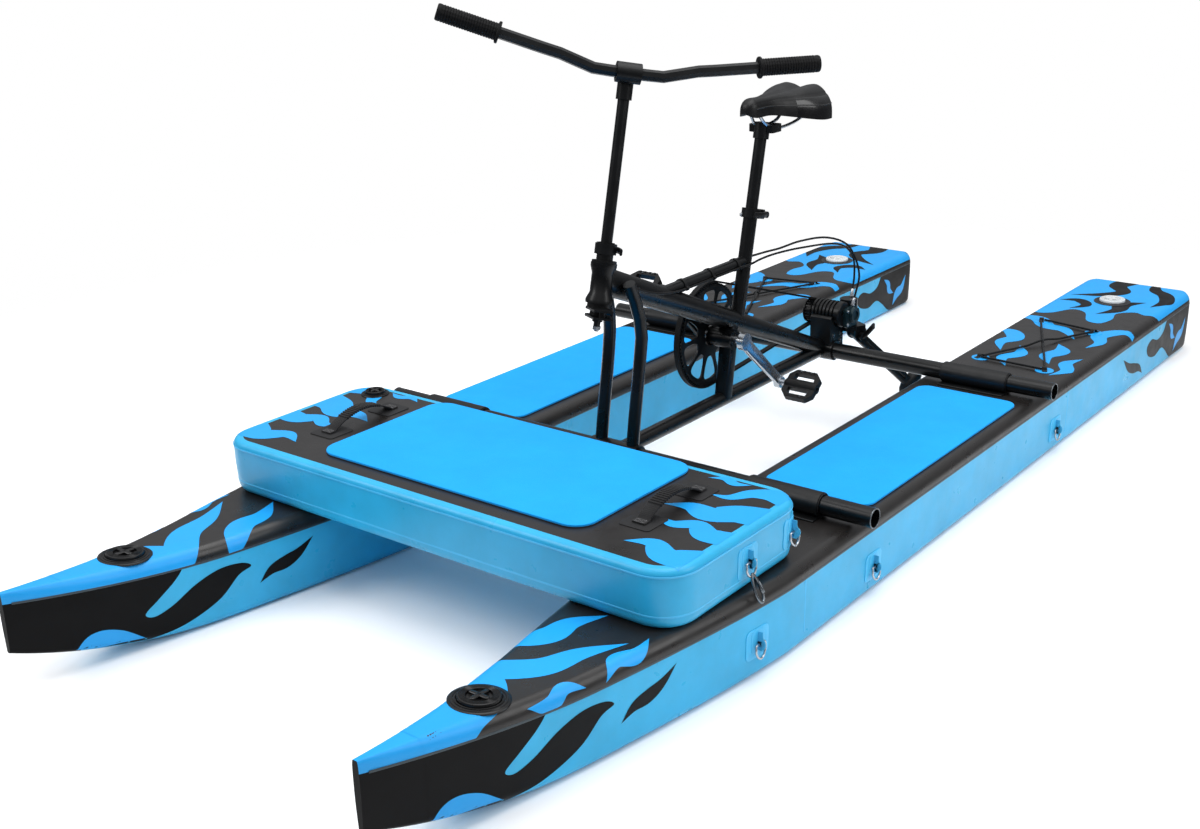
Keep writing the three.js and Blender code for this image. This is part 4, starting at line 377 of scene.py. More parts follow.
def quads(rows, count, first=0, closed=False):
    """The faces between rows of points, each row a loop; closed joins the last row to the first."""
    faces = []
    for i in range(rows if closed else rows - 1):
        a, b = first + i * count, first + (i + 1) % rows * count
        for k in range(count):
            n = (k + 1) % count
            faces.append((a + k, a + n, b + n, b + k))
    return faces


def lofted(name, loops, mark=None, lid=False):
    """A skin over a row of loops with equal counts; mark(i, k) gives the material of a face.
    Its ends close to a hub each, or with lid only the last one, flat."""
    count, last = len(loops[0]), len(loops) - 1
    points = [p for loop in loops for p in loop]
    faces = quads(len(loops), count)
    marks = [mark(i, k) for i in range(last) for k in range(count)] if mark else [0] * len(faces)
    if lid:
        return mesh_of(name, points, faces + [tuple(range(last * count, len(points)))])
    for i in (0, last):
        hub = len(points)
        points.append(sum(loops[i], Vector()) / count)
        faces += [(hub, i * count + k, i * count + (k + 1) % count) for k in range(count)]
        marks += [mark(i, -1) if mark else 0] * count
    return mesh_of(name, points, faces, marks)


def frame_to(origin, axis):
    up = Vector(axis).normalized()
    side = Y if abs(up.dot(X)) > 0.95 else X
    across = (side - up * side.dot(up)).normalized()
    return Matrix.Translation(origin) @ Matrix((across, up.cross(across), up)).transposed().to_4x4()


def turned(name, profile, origin, axis, sides=48):
    """A turned piece: pairs of radius and height in mm, revolved about an axis."""
    place = frame_to(origin, axis)
    points, faces = [], []
    count = len(profile)
    for k in range(sides):
        c, s = math.cos(k * TURN / sides), math.sin(k * TURN / sides)
        points += [place @ (Vector((r * c, r * s, h)) * MM) for r, h in profile]
        a, b = k * count, (k + 1) % sides * count
        faces += [(a + i, b + i, b + i + 1, a + i + 1) for i in range(count - 1)]
    return recalculated(mesh_of(name, points, faces), 1e-6)


def smooth_path(points, steps):
    """Points along a Catmull-Rom curve through the given ones."""
    out = []
    row = [points[0] * 2 - points[1], *points, points[-1] * 2 - points[-2]]
    for i in range(1, len(row) - 2):
        a, b, c, d = row[i - 1:i + 3]
        for k in range(steps):
            t = k / steps
            out.append(0.5 * (
                2 * b + (c - a) * t + (2 * a - 5 * b + 4 * c - d) * t * t
                + (3 * b - a - 3 * c + d) * t ** 3
            ))
    out.append(points[-1])
    return out


def swept(name, points, section, closed=False, side=Z, spin=0.0):
    """A section (pairs in mm) carried along a path; spin turns it at each point, in radians."""
    total = len(points)
    loops = []
    way = (points[1] - points[0]).normalized()
    across = side - way * side.dot(way)
    if across.length < 1e-4:
        across = X - way * way.x
    across.normalize()
    for i, p in enumerate(points):
        before = points[i - 1] if i or closed else p
        after = points[(i + 1) % total] if i + 1 < total or closed else p
        way = (after - before).normalized()
        across = (across - way * across.dot(way)).normalized()
        other = way.cross(across)
        c, s = math.cos(spin * i), math.sin(spin * i)
        loops.append([
            p + across * ((u * c - w * s) * MM) + other * ((u * s + w * c) * MM) for u, w in section
        ])
    if closed:
        flat = [p for loop in loops for p in loop]
        return mesh_of(name, flat, quads(total, len(section), closed=True))
    return lofted(name, loops)


def circle(radius, sides=10):
    return [
        (radius * math.cos(k * TURN / sides), radius * math.sin(k * TURN / sides)) for k in range(sides)
    ]


def rounded(half_wide, half_tall, radius, steps=6):
    """A rectangle with round corners, as pairs about its middle."""
    out = []
    wide, tall = half_wide - radius, half_tall - radius
    for start, (cx, cy) in enumerate(((wide, tall), (-wide, tall), (-wide, -tall), (wide, -tall))):
        for k in range(steps + 1):
            angle = (start + k / steps) * TURN / 4
            out.append((cx + radius * math.cos(angle), cy + radius * math.sin(angle)))
    return out


def slab(name, outline, levels, place, marks=None):
    """A stack of outlines: levels are (inset, height) in mm, place maps (x, y, height) to a point."""
    loops = []
    cx = sum(p[0] for p in outline) / len(outline)
    cy = sum(p[1] for p in outline) / len(outline)
    reach_x = max(abs(p[0] - cx) for p in outline)
    reach_y = max(abs(p[1] - cy) for p in outline)
    for inset, height in levels:
        kx, ky = 1 - inset / reach_x, 1 - inset / reach_y
        loops.append([place(cx + (x - cx) * kx, cy + (y - cy) * ky, height) for x, y in outline])
    return lofted(name, loops, mark=marks)


def merged(name, meshes):
    """Several meshes as one, each keeping its material index."""
    bm = bmesh.new()
    for mesh in meshes:
        bm.from_mesh(mesh)
        bpy.data.meshes.remove(mesh)
    out = bpy.data.meshes.new(name)
    bm.to_mesh(out)
    bm.free()
    return out


def both_sides(stem, mesh, looks, replaces=(), **options):
    """The piece on the rider's left, and its mirror image on the right."""
    other = mesh.copy()
    other.name = f"{stem}_right"
    other.transform(Matrix.Scale(-1, 4, X))
    other.flip_normals()
    for side, half in (("left", mesh), ("right", other)):
        add(f"{stem}_{side}", half, looks, replaces=[f"{n}_{side}" for n in replaces], **options)


def dense(outline, step=7):
    """The closed outline with points no further apart than a step."""
    out = []
    for a, b in zip(outline, outline[1:] + outline[:1]):
        steps = max(1, math.ceil((b - a).length / step))
        out += [a.lerp(b, k / steps) for k in range(steps)]
    return out


def clamp(value, low, high):
    return max(low, min(high, value))


# %% [markdown]
# ## Float hulls
# A real float is a stiff inflated skin with a welded seam below the deck's edge. A bevelled box
# could stand in for it, but the bow narrows and rises at once, so the skin is lofted through
# stations with the section and taper of the CAD solid, and many more points. Marks give deck, wall,
# nose and transom their own looks.

# %% Float skins
DECK, GAP, MIDDLE = 154, 0.3, 410
STERN, BOW, TAPER_FROM, RISE_FROM, NOSE_FROM = 1488, -1449, -600, -1050, -1322
HALF_WIDTH, TIP_HALF = 146, 7
SEAM_SHARE = 127 / 154
DECK_INSET, KEEL_INSET, BELLY = 22, 18, 3
CORNER_RADIUS, EDGE_RADIUS = 45, 20
TIP_RISE, KEEL_RISE = 34, 80
ARC, WALL_STEPS = 14, 8
SIDE_POINTS, SEAM_AT = 2 * ARC + WALL_STEPS + 1, ARC + WALL_STEPS
STERN_STEPS, BODY_STEPS, BOW_STEPS = 12, 24, 60


def side_of(base, top, seam, deck_inset, keel_inset):
    """A wall's section, keel to deck: pairs of inset and height."""
    points = []
    for i in range(ARC + 1):
        angle = i / ARC * TURN / 4
        points.append((keel_inset * (1 - math.sin(angle)) + BELLY, base + keel_inset * (1 - math.cos(angle))))
    low = base + keel_inset
    for i in range(1, WALL_STEPS + 1):
        share = i / WALL_STEPS
        points.append((BELLY * (1 - share) ** 2 + BELLY / 3 * share ** 2, low + (seam - low) * share))
    for i in range(1, ARC + 1):
        angle = i / ARC * TURN / 4
        points.append((
            BELLY / 3 + (deck_inset - BELLY / 3) * (1 - math.cos(angle)),
            seam + (top - seam) * math.sin(angle),
        ))
    return points


def rounding(radius, way_in):
    """How far a round edge falls back at a distance in from its end."""
    return radius - math.sqrt(radius ** 2 - max(0, radius - way_in) ** 2)


def hull_at(y):
    """Half width, keel height and deck height of the float at a station."""
    bow_share = clamp((TAPER_FROM - y) / (TAPER_FROM - BOW), 0.0, 1.0)
    rise_share = clamp((RISE_FROM - y) / (RISE_FROM - BOW), 0.0, 1.0)
    narrowing = min(1, 1.04 * bow_share ** 1.35 - 0.04 * bow_share ** 6)
    half = HALF_WIDTH + (TIP_HALF - HALF_WIDTH) * narrowing - rounding(CORNER_RADIUS, STERN - y)
    drop = rounding(EDGE_RADIUS, STERN - y)
    return half, KEEL_RISE * rise_share ** 2.2 + drop, DECK + TIP_RISE * rise_share ** 1.6 - drop


def seam_at(y):
    """Half width, keel and seam heights, and how far the section's insets are squeezed at the bow."""
    half, base, top = hull_at(y)
    return half, base, base + (top - base) * SEAM_SHARE, min(1, half / (2 * DECK_INSET))


def hull_loop(y):
    half, base, seam, squeeze = seam_at(y)
    side = side_of(base, hull_at(y)[2], seam, DECK_INSET * squeeze, KEEL_INSET * squeeze)
    outer = [at(MIDDLE + half - min(inset, half), y, z) for inset, z in side]
    return outer + [at(MIDDLE - half + min(inset, half), y, z) for inset, z in reversed(side)]


stern_to_body = [1 - math.cos(i / STERN_STEPS * TURN / 4) for i in range(STERN_STEPS + 1)]
body_from = STERN - CORNER_RADIUS
stations = [STERN - share * CORNER_RADIUS for share in stern_to_body]
stations += [body_from - (body_from - TAPER_FROM) * i / BODY_STEPS for i in range(1, BODY_STEPS + 1)]
stations += [TAPER_FROM + (BOW - TAPER_FROM) * i / BOW_STEPS for i in range(1, BOW_STEPS + 1)]


def hull_mark(i, k):
    """0 deck, 1 wall, 2 nose and transom, 3 deck at the very bow."""
    y = stations[min(i, len(stations) - 1)]
    if SEAM_AT <= k < 2 * SIDE_POINTS - 1 - SEAM_AT:
        return 3 if y < NOSE_FROM else 0
    return 2 if k < 0 or y < NOSE_FROM or y > STERN - CORNER_RADIUS * 0.55 else 1


hull = lofted("float_left_skin", [hull_loop(y) for y in stations], mark=hull_mark)
hull_tree = tree_of(hull)
both_sides("float_skin", hull, ["skin_black", "skin_blue", "nose_black", "print_blue"], replaces=["float"],
           smooth=50)


# %% [markdown]
# ## Platform skin
# The front platform is a flat inflated box with round corners and a seam near its top. A bevelled
# cube would do from afar, but its wall has the floats' own section, so that profile is carried
# round a rounded rectangle.

# %% Platform skin
PLATFORM_HALF, PLATFORM_FRONT, PLATFORM_REAR = 528, -906, -512
PLATFORM_HEIGHT, PLATFORM_SEAM, PLATFORM_CORNER = 104, 12, 68
PRINT_INSET, TOP_INSET = 20, 60
platform_top = DECK + GAP + PLATFORM_HEIGHT
platform_y = (PLATFORM_FRONT + PLATFORM_REAR) / 2
platform_deep = (PLATFORM_REAR - PLATFORM_FRONT) / 2


def platform_loop(inset, z):
    corner = max(8, PLATFORM_CORNER - inset)
    outline = rounded(PLATFORM_HALF - inset, platform_deep - inset, corner, steps=10)
    return [at(x, platform_y + y, z) for x, y in outline]


platform_side = side_of(DECK + GAP, platform_top, platform_top - PLATFORM_SEAM, PLATFORM_SEAM, KEEL_INSET)
platform_levels = platform_side + [(PRINT_INSET, platform_top), (TOP_INSET, platform_top)]
platform_mesh = lofted(
    "platform_skin", [platform_loop(*level) for level in platform_levels],
    mark=lambda i, k: 0 if i >= len(platform_side) else 1,
)
platform_tree = tree_of(platform_mesh)
add("platform_skin", platform_mesh, ["skin_black", "skin_blue"], replaces=["platform"], smooth=50)


# %% [markdown]
# ## Printed licks
# The licks are ink on the skin. A painted texture would need the skin unwrapped and would blur
# close up, so each lick is a spine with half widths, in deck or wall millimetres, filled with small
# cells and laid a hair above the skin by ray.

# %% Licks
def lick(*spine, steps=8):
    """A tapering tongue: the outline of a smooth spine of (u, w, half width)."""
    path = smooth_path([Vector(p) for p in spine], steps)
    left, right = [], []
    for i, p in enumerate(path):
        way = (path[min(i + 1, len(path) - 1)] - path[max(i - 1, 0)]).to_2d().normalized()
        aside = Vector((-way.y, way.x)) * max(0.0, p.z)
        left.append(p.to_2d() + aside)
        right.append(p.to_2d() - aside)
    return left + right[::-1]


def field(corners, *edge, steps=7):
    """A shape with plain corners on one side and a smooth edge through points on the other."""
    return [Vector(p) for p in corners] + smooth_path([Vector(p) for p in edge], steps)


def on_skin(tree, aim, u, w, lift=0.0):
    """The point of a skin under (u, w), and its outward normal; aim gives where a ray starts and goes."""
    origin, ray = aim(u, w)
    hit, normal, _, _ = tree.ray_cast(origin, ray)
    if hit is None:
        return None, None
    if normal.dot(ray) > 0:
        normal = -normal
    return hit + normal * lift * MM, normal


def laid(name, outline, tree, aim, lift, cell=5, least=0.4):
    """Fills an outline in (u, w) millimetres with small cells and drops it on a skin."""
    clean = []
    for p in dense(outline, cell):
        if not clean or (p - clean[-1]).length > least:
            clean.append(p)
    while (clean[0] - clean[-1]).length < least:
        clean.pop()
    low = Vector((min(p.x for p in clean), min(p.y for p in clean)))
    high = Vector((max(p.x for p in clean), max(p.y for p in clean)))
    inner = [
        Vector((low.x + (i + 0.5) * cell, low.y + (j + 0.5) * cell))
        for i in range(int((high.x - low.x) / cell) + 1) for j in range(int((high.y - low.y) / cell) + 1)
    ]
    edges = [(i, (i + 1) % len(clean)) for i in range(len(clean))]
    points, _, faces, *_ = geometry.delaunay_2d_cdt(clean + inner, edges, [], 1, 0.05)
    placed = [on_skin(tree, aim, p.x, p.y, lift)[0] for p in points]
    keep = [face for face in faces if all(placed[i] is not None for i in face)]
    used = sorted({i for face in keep for i in face})
    where = {old: new for new, old in enumerate(used)}
    return mesh_of(name, [placed[i] for i in used], [tuple(where[i] for i in face) for face in keep])


def deck_aim(x, y):
    """x runs over the deck from its middle line, then down round the shoulder to the seam."""
    half, _, seam, squeeze = seam_at(y)
    top = hull_at(y)[2]
    inset = DECK_INSET * squeeze
    flat = half - inset
    if abs(x) <= flat:
        return at(MIDDLE + x, y, top + 60), -Z
    angle = min(0.985, (abs(x) - flat) / (1.62 * inset)) * TURN / 4
    side = math.copysign(1, x)
    out = Vector((side * math.sin(angle), 0, math.cos(angle)))
    spot = at(MIDDLE + side * (flat + inset * math.sin(angle)), y, seam + (top - seam) * math.cos(angle))
    return spot + out * 0.03, -out


def deck_clip(p):
    y = min(STERN - 3, p.y)
    half, _, _, squeeze = seam_at(y)
    edge = half + 0.6 * DECK_INSET * squeeze - 1.2
    return Vector((clamp(p.x, -edge, edge), y))


def wall_aim(facing):
    """facing +1 is a float's outer wall, -1 its inner wall."""
    return lambda y, z: (at(MIDDLE + facing * 300, y, z), Vector((-facing, 0, 0)))


def wall_clip(p):
    y = min(STERN - 3, p.x)
    _, base, seam, _ = seam_at(y)
    return Vector((y, clamp(p.y, base + 5, seam - 0.6)))


def platform_aim(x, y):
    return at(x, y, 500), -Z


def platform_clip(p):
    reach_x, reach_y = (half - PRINT_INSET + 6 for half in (PLATFORM_HALF, platform_deep))
    return Vector((clamp(p.x, -reach_x, reach_x), clamp(p.y, platform_y - reach_y, platform_y + reach_y)))


DECK_SKIN = (deck_clip, hull_tree, deck_aim)
OUTER_WALL = (wall_clip, hull_tree, wall_aim(1))
INNER_WALL = (wall_clip, hull_tree, wall_aim(-1))
PLATFORM_SKIN = (platform_clip, platform_tree, platform_aim)


def printed(stem, look, skin, shapes, lift=0.3, above=0.03):
    """Licks on a skin and on its mirror image, each a hair above the one before."""
    clip, tree, aim = skin
    both_sides(stem, merged(stem, [
        laid(f"{stem}{i}", [clip(p) for p in dense(shape)], tree, aim, lift + above * i)
        for i, shape in enumerate(shapes)
    ]), look, smooth=50)


# the deck at the bow: a blue tip, and licks that run aft from it
printed("bow_tip", "print_blue", DECK_SKIN, [field(
    [(-160, -1350), (160, -1350)],
    (160, -1310), (92, -1290), (52, -1262), (40, -1214), (10, -1164), (-34, -1136), (-78, -1160),
    (-160, -1176),
)], lift=0.35)
printed("bow_licks", "print_blue", DECK_SKIN, [
    lick((-96, -1166, 24), (-44, -1130, 30), (4, -1082, 27), (26, -1016, 17), (66, -950, 0)),
    lick((-126, -1052, 0), (-84, -1040, 19), (-50, -1000, 25), (-46, -950, 18), (-14, -896, 0)),
    lick((60, -1176, 0), (74, -1136, 12), (66, -1104, 10), (84, -1070, 0)),
    lick((96, -1034, 0), (78, -1000, 13), (92, -962, 12), (82, -920, 0)),
])
# the deck at the stern: a blue field with black licks in it, and blue licks ahead of it
printed("stern_field", "print_blue", DECK_SKIN, [field(
    [(150, 1476), (-150, 1476)],
    (-150, 1110), (-128, 1068), (-92, 1084), (-58, 1142), (-20, 1128), (8, 1064), (44, 1056), (58, 1106),
    (50, 1160), (84, 1196), (116, 1184), (150, 1206),
)], lift=0.25)
printed("stern_black", "print_black", DECK_SKIN, [
    lick((-30, 1480, 30), (-40, 1424, 24), (-8, 1370, 19), (-44, 1318, 16), (-116, 1276, 0)),
    lick((44, 1480, 10), (60, 1430, 17), (98, 1392, 20), (118, 1330, 17), (100, 1262, 0)),
    lick((78, 1300, 0), (36, 1250, 21), (40, 1192, 17), (6, 1130, 0)),
    lick((-122, 1214, 0), (-76, 1232, 16), (-44, 1196, 13), (-70, 1146, 0)),
], lift=0.45)
printed("stern_licks", "print_blue", DECK_SKIN, [
    lick((-146, 1016, 12), (-96, 1012, 22), (-56, 966, 22), (-6, 954, 17), (44, 890, 0)),
    lick((150, 1020, 10), (112, 1004, 20), (84, 950, 20), (104, 896, 13), (90, 838, 0)),
    lick((-150, 880, 2), (-108, 870, 20), (-80, 826, 21), (-96, 778, 14), (-70, 716, 0)),
    lick((26, 836, 0), (54, 784, 20), (38, 730, 17), (66, 676, 0)),
    lick((-46, 776, 0), (-20, 716, 17), (-42, 664, 14), (-12, 610, 0)),
    lick((118, 752, 0), (98, 700, 15), (118, 650, 14), (96, 598, 0)),
])
# the walls: a black nose and black stern with licks, and blue licks in the black
NOSE = field(
    [(-1350, 190), (-1350, 0)],
    (-1330, 2), (-1290, 12), (-1220, 16), (-1150, 24), (-1086, 48), (-1046, 82), (-1020, 92), (-1040, 104),
    (-1082, 106), (-1128, 92), (-1172, 68), (-1206, 58), (-1222, 68), (-1196, 88), (-1164, 112), (-1146, 134),
    (-1140, 165),
)
STERN_WALL = field(
    [(1484, 8), (1484, 126)],
    (1270, 130), (1246, 100), (1206, 90), (1160, 102), (1128, 88), (1144, 62), (1196, 48), (1244, 58),
    (1282, 40), (1320, 14), (1360, 2),
)
for wall, skin in (("outer", OUTER_WALL), ("inner", INNER_WALL)):
    printed(f"{wall}_nose", "nose_black", skin, [NOSE])
    printed(f"{wall}_stern", "print_black", skin, [
        STERN_WALL, lick((1112, 26, 0), (1080, 48, 9), (1040, 58, 13), (1000, 72, 10), (956, 102, 0)),
    ])
    printed(f"{wall}_bow_licks", "print_black", skin, [
        lick((-1006, 52, 0), (-980, 70, 9), (-950, 76, 13), (-922, 86, 9), (-890, 108, 0)),
    ])
    printed(f"{wall}_blue_licks", "print_blue", skin, [
        lick((-1352, 34, 0), (-1316, 50, 15), (-1274, 44, 13), (-1226, 24, 0)),
        lick((1350, 20, 0), (1372, 50, 15), (1402, 62, 12), (1424, 98, 0)),
        lick((1288, 112, 0), (1314, 94, 9), (1322, 72, 9), (1350, 58, 0)),
    ], lift=0.5)
printed("platform_licks", "print_blue", PLATFORM_SKIN, [
    lick((520, -560, 26), (486, -552, 24), (452, -566, 17), (428, -600, 10), (394, -606, 0)),
    lick((520, -640, 38), (478, -650, 34), (440, -676, 28), (396, -668, 16), (352, -684, 0)),
    lick((520, -742, 26), (480, -746, 24), (446, -724, 17), (412, -742, 12), (372, -730, 0)),
    lick((520, -836, 38), (470, -846, 26), (428, -820, 16), (384, -838, 0)),
    lick((432, -536, 0), (404, -546, 9), (378, -536, 8), (350, -548, 0)),
])


# %% [markdown]
# ## Welded seams
# A tape covers the weld where each float's deck meets its wall, and two run round the platform.
# They could be inset into the skin, but a thin bead swept along the seam's own path keeps the skin
# whole. The upright joints of the walls are thin pieces that follow the skin by ray.

# %% Seams
LID_RINGS, SUNK = 4, 0.5


def moved(u, w, outline):
    return [Vector((u + x, w + y)) for x, y in outline]


def raised(name, outline, tree, aim, height, bevel):
    """A thin piece that follows a skin: its outline in (u, w) millimetres, its height and edge bevel."""
    centre = sum(outline, Vector((0, 0))) / len(outline)
    reach = min((p - centre).length for p in outline)
    levels = [(0, -SUNK), (0, height * 0.55), (bevel * 0.35, height * 0.88), (bevel, height)]
    levels += [(bevel + (reach - bevel) * i / LID_RINGS, height) for i in range(1, LID_RINGS)]
    return lofted(name, [
        [on_skin(tree, aim, *(centre + (p - centre) * (1 - inset / reach)), lift)[0] for p in outline]
        for inset, lift in levels
    ], lid=True)


def wall_seam(y, facing):
    half, _, seam, squeeze = seam_at(y)
    return at(MIDDLE + facing * (half - BELLY / 3 * squeeze), y, seam)


seams = [
    swept("seam", [wall_seam(y, facing) for y in stations[4:-1]], rounded(1.9, 0.55, 0.4, steps=2))
    for facing in (1, -1)
]
both_sides("float_seam", merged("float_seam", seams), "seam_tape", smooth=60)
for name, inset, z in (
    ("upper", 0.2, platform_top - PLATFORM_SEAM), ("lower", BELLY - 0.4, DECK + GAP + 24),
):
    loop = dense(platform_loop(inset, z), 12 * MM)
    bead = swept("bead", loop, rounded(1.7, 0.5, 0.35, steps=2), closed=True)
    add(f"platform_seam_{name}", bead, "tape_blue", smooth=60)
joints = [
    raised("joint", moved(y, 76, rounded(1.6, 50, 0.8)), hull_tree, wall_aim(1), 0.5, 0.2)
    for y in (-560, 600)
]
both_sides("wall_joint", merged("wall_joint", joints), "tape_blue", smooth=60)


# %% [markdown]
# ## Deck pads
# The pads are foam sheets glued to the decks, with a dark core below and a rolled upper edge. They
# could be bevelled cubes; a stack of outlines gives the core, the roll and a slightly raised middle
# in one closed form.

# %% Foam pads
PAD_THICK, PAD_CORE, PAD_STEP, PAD_EDGE = 5, 1.3, 0.35, 1.4


def pad(name, half_wide, front, rear, corner, middle, base):
    centre = (front + rear) / 2
    edge_from = PAD_THICK - PAD_EDGE
    levels = [(0, 0), (0, PAD_CORE), (PAD_STEP, PAD_CORE + 0.1), (PAD_STEP, edge_from)]
    for i in range(1, 5):
        angle = i / 4 * TURN / 4
        levels.append((PAD_STEP + PAD_EDGE * (1 - math.cos(angle)), edge_from + PAD_EDGE * math.sin(angle)))
    levels += [(6, PAD_THICK + 0.05), (14, PAD_THICK + 0.1), (40, PAD_THICK + 0.1)]
    return slab(
        name, rounded(half_wide, (rear - front) / 2, corner, steps=10), levels,
        lambda x, y, h: at(middle + x, centre + y, base + h), marks=lambda i, k: 1 if i < 2 and k >= 0 else 0,
    )


FOAM = ["foam", "foam_core"]
deck_pad = pad("deck_pad", 114, -300, 374, 28, 417, DECK + GAP)
platform_pad = pad("platform_foam", 310, -852, -522, 40, 0, platform_top + GAP)
both_sides("deck_foam", deck_pad, FOAM, replaces=["deck_pad"], smooth=40)
add("platform_foam", platform_pad, FOAM, replaces=["platform_pad"], smooth=40)


# %% [markdown]
# ## Ring tabs, patches and hooks
# Welded patches on the walls each hold a folded strap with a D-shaped ring, and a snap hook hangs
# from the platform's. A flat patch would cut into the curved wall, so the patches follow it by ray.
# Straps, rings and hook are sections swept along smooth paths in the wall's own frame.

# %% Patches, straps, rings and hooks
RING_ROD, ROD_OUT, RING_WIDE, RING_TALL, RING_SWING = 2.0, 4.6, 15, 25, 0.16
TIE_Y = platform_y + 10
HOOK_LEAN, HOOK_HALF, HOOK_WIDE, HOOK_TAPER = math.radians(24), 24.5, 8.4, 2.2


def angles(count):
    return [k * TURN / count for k in range(count)]


def in_frame(place):
    """Maps millimetres in a frame to a point."""
    return lambda x, y, z: place @ (Vector((x, y, z)) * MM)


def d_ring():
    """A D: x out of the wall, y along it, z up; the straight bar is at the top."""
    points = [(0, y, 0) for y in (3 - RING_WIDE, -RING_WIDE / 2, 0, RING_WIDE / 2, RING_WIDE - 3)]
    for k in range(15):
        angle = math.radians(k * 12 - 6)
        drop = 3 + (RING_TALL - 3) * math.sin(angle) if angle > 0 else 2
        points.append((drop * RING_SWING, RING_WIDE * math.cos(angle), -drop))
    return [(x + ROD_OUT, y, z) for x, y, z in points]


def tab_path():
    """A strap from the wall, out and round the ring's bar, and back to the wall below."""
    reach = RING_ROD + 1.1
    turns = [math.radians(degrees) for degrees in (72, 36, 0, -36, -72, -108)]
    round_bar = [(ROD_OUT + reach * math.cos(a), 0, reach * math.sin(a)) for a in turns]
    return [(1.0, 0, 21), (1.3, 0, 14), (2.4, 0, 8), *round_bar, (1.6, 0, -6.5), (1.0, 0, -12)]


def ring_fitting(tree, aim, y, z, pieces):
    """Adds a patch, a strap and a ring at (y, z) of an outer wall to the lists in pieces."""
    spot, normal = on_skin(tree, aim, y, z)
    up = normal.cross(Y).normalized()
    up = up if up.z > 0 else -up
    place = Matrix.Translation(spot + normal * 1.7 * MM) @ Matrix((normal, Y, up)).transposed().to_4x4()
    tab = smooth_path([in_frame(place)(*p) for p in tab_path()], 3)
    ring = smooth_path([in_frame(place)(*p) for p in d_ring()], 2)[:-1]
    pieces["patch"].append(raised("patch", moved(y, z, rounded(29, 27, 10)), tree, aim, 1.5, 1.1))
    pieces["patch"].append(raised("lap", moved(y, z + 4, rounded(17, 21, 9)), tree, aim, 2.3, 0.9))
    pieces["strap"].append(swept("strap", tab, [(w, u) for u, w in rounded(8.5, 0.65, 0.5, steps=2)], side=Y))
    pieces["ring"].append(swept("ring", ring, circle(RING_ROD, 12), closed=True, side=normal))
    return place


for owner, tree, aim, places in (
    ("float", hull_tree, wall_aim(1), ((TIE_Y, 66), (-318, 56), (534, 56))),
    ("platform", platform_tree, lambda y, z: (at(800, y, z), -X), ((TIE_Y, 207), (-560, 207))),
):
    pieces = {"patch": [], "strap": [], "ring": []}
    ring_places = [ring_fitting(tree, aim, y, z, pieces) for y, z in places]
    both_sides(f"{owner}_patches", merged("patches", pieces["patch"]), "tape_blue")
    both_sides(f"{owner}_straps", merged("straps", pieces["strap"]), "strap_blue", smooth=50)
    both_sides(f"{owner}_rings", merged("rings", pieces["ring"]), "bright_metal", smooth=60)

# the snap hook: a pear of wire with a sprung gate, leaning on the float's shoulder
hook_top = in_frame(ring_places[0])(ROD_OUT + 3.8, 0, -20.5)
hook_turn = Matrix((
    Vector((math.sin(HOOK_LEAN), 0, -math.cos(HOOK_LEAN))), Y,
    Vector((math.cos(HOOK_LEAN), 0, math.sin(HOOK_LEAN))),
)).transposed()


def on_hook(down, along):
    return hook_top + hook_turn @ (Vector((down, along, 0)) * MM)


hook_wire = [
    on_hook(HOOK_HALF - HOOK_HALF * math.cos(a), (HOOK_WIDE - HOOK_TAPER * math.cos(a)) * math.sin(a))
    for a in angles(48)
]
gate_foot = on_hook(36, 9.4)
both_sides("snap_hook", merged("snap_hook", [
    swept("hook_wire", hook_wire, circle(2.3, 12), closed=True, side=hook_turn.col[2]),
    turned("gate", [(0, 0), (3.1, 0), (3.4, 0.6), (3.4, 15), (3.0, 16), (3.0, 19), (2.4, 20), (0, 20)],
           gate_foot, on_hook(12, 8.0) - gate_foot, sides=20),
]), "dark_steel", replaces=["tie_hook"], smooth=50)


# %% [markdown]
# ## Valves
# Each valve is a welded seat with rings and a cap with a cross to grip, which turns in it. Both are
# round, so a profile is revolved about the deck's normal, and the cross is two slabs. The cap is a
# piece of its own, because it rides on its own body.

# %% Valve seats and caps
VALVE_SEAT = (
    (46, -1.5), (46, 1.2), (45, 2.0), (42, 2.2), (41.4, 3.2), (38.6, 3.4), (38, 2.5), (36.6, 2.5),
    (36.2, 3.7), (34.2, 4.0), (33.6, 3.4), (33.5, 1), (0, 1),
)
CAP_TOP, GROOVES, GROOVE_PITCH, GROOVE_DEPTH = 8.6, 5, 1.9, 0.7


def valve(where, spot, axis, cap_look, seat_look, scale=1.0, sides=64):
    def scaled(profile):
        return [(r * scale, h) for r, h in profile]

    cap = [(0, 1.2), (32.4, 1.2), (32.4, 6.6), (31.6, 8.0), (30.2, CAP_TOP)]
    for i in range(GROOVES):
        r = 29.6 - i * GROOVE_PITCH
        low = CAP_TOP - GROOVE_DEPTH
        cap += [(r, CAP_TOP), (r - 0.5, low), (r - 1.2, low), (r - 1.6, CAP_TOP)]
    cap += [(20, 8.4), (19, 5.2), (3, 4.6), (0, 4.6)]
    pieces = [turned("cap", scaled(cap), spot, axis, sides)]
    for long, wide in ((18.6, 4), (4, 18.6)):
        pieces.append(slab(
            "grip", rounded(long * scale, wide * scale, 3.4 * scale, steps=4),
            [(0, 4.4), (0, CAP_TOP), (0.6, 9.4), (1.4, 9.7)], in_frame(frame_to(spot, axis)),
        ))
    add(f"valve_{where}_seat", turned("seat", scaled(VALVE_SEAT), spot, axis, sides), seat_look)
    add(f"valve_{where}_cap", merged("cap", pieces), cap_look, body=f"valve_{where}",
        replaces=[f"valve_cap_{where}"])


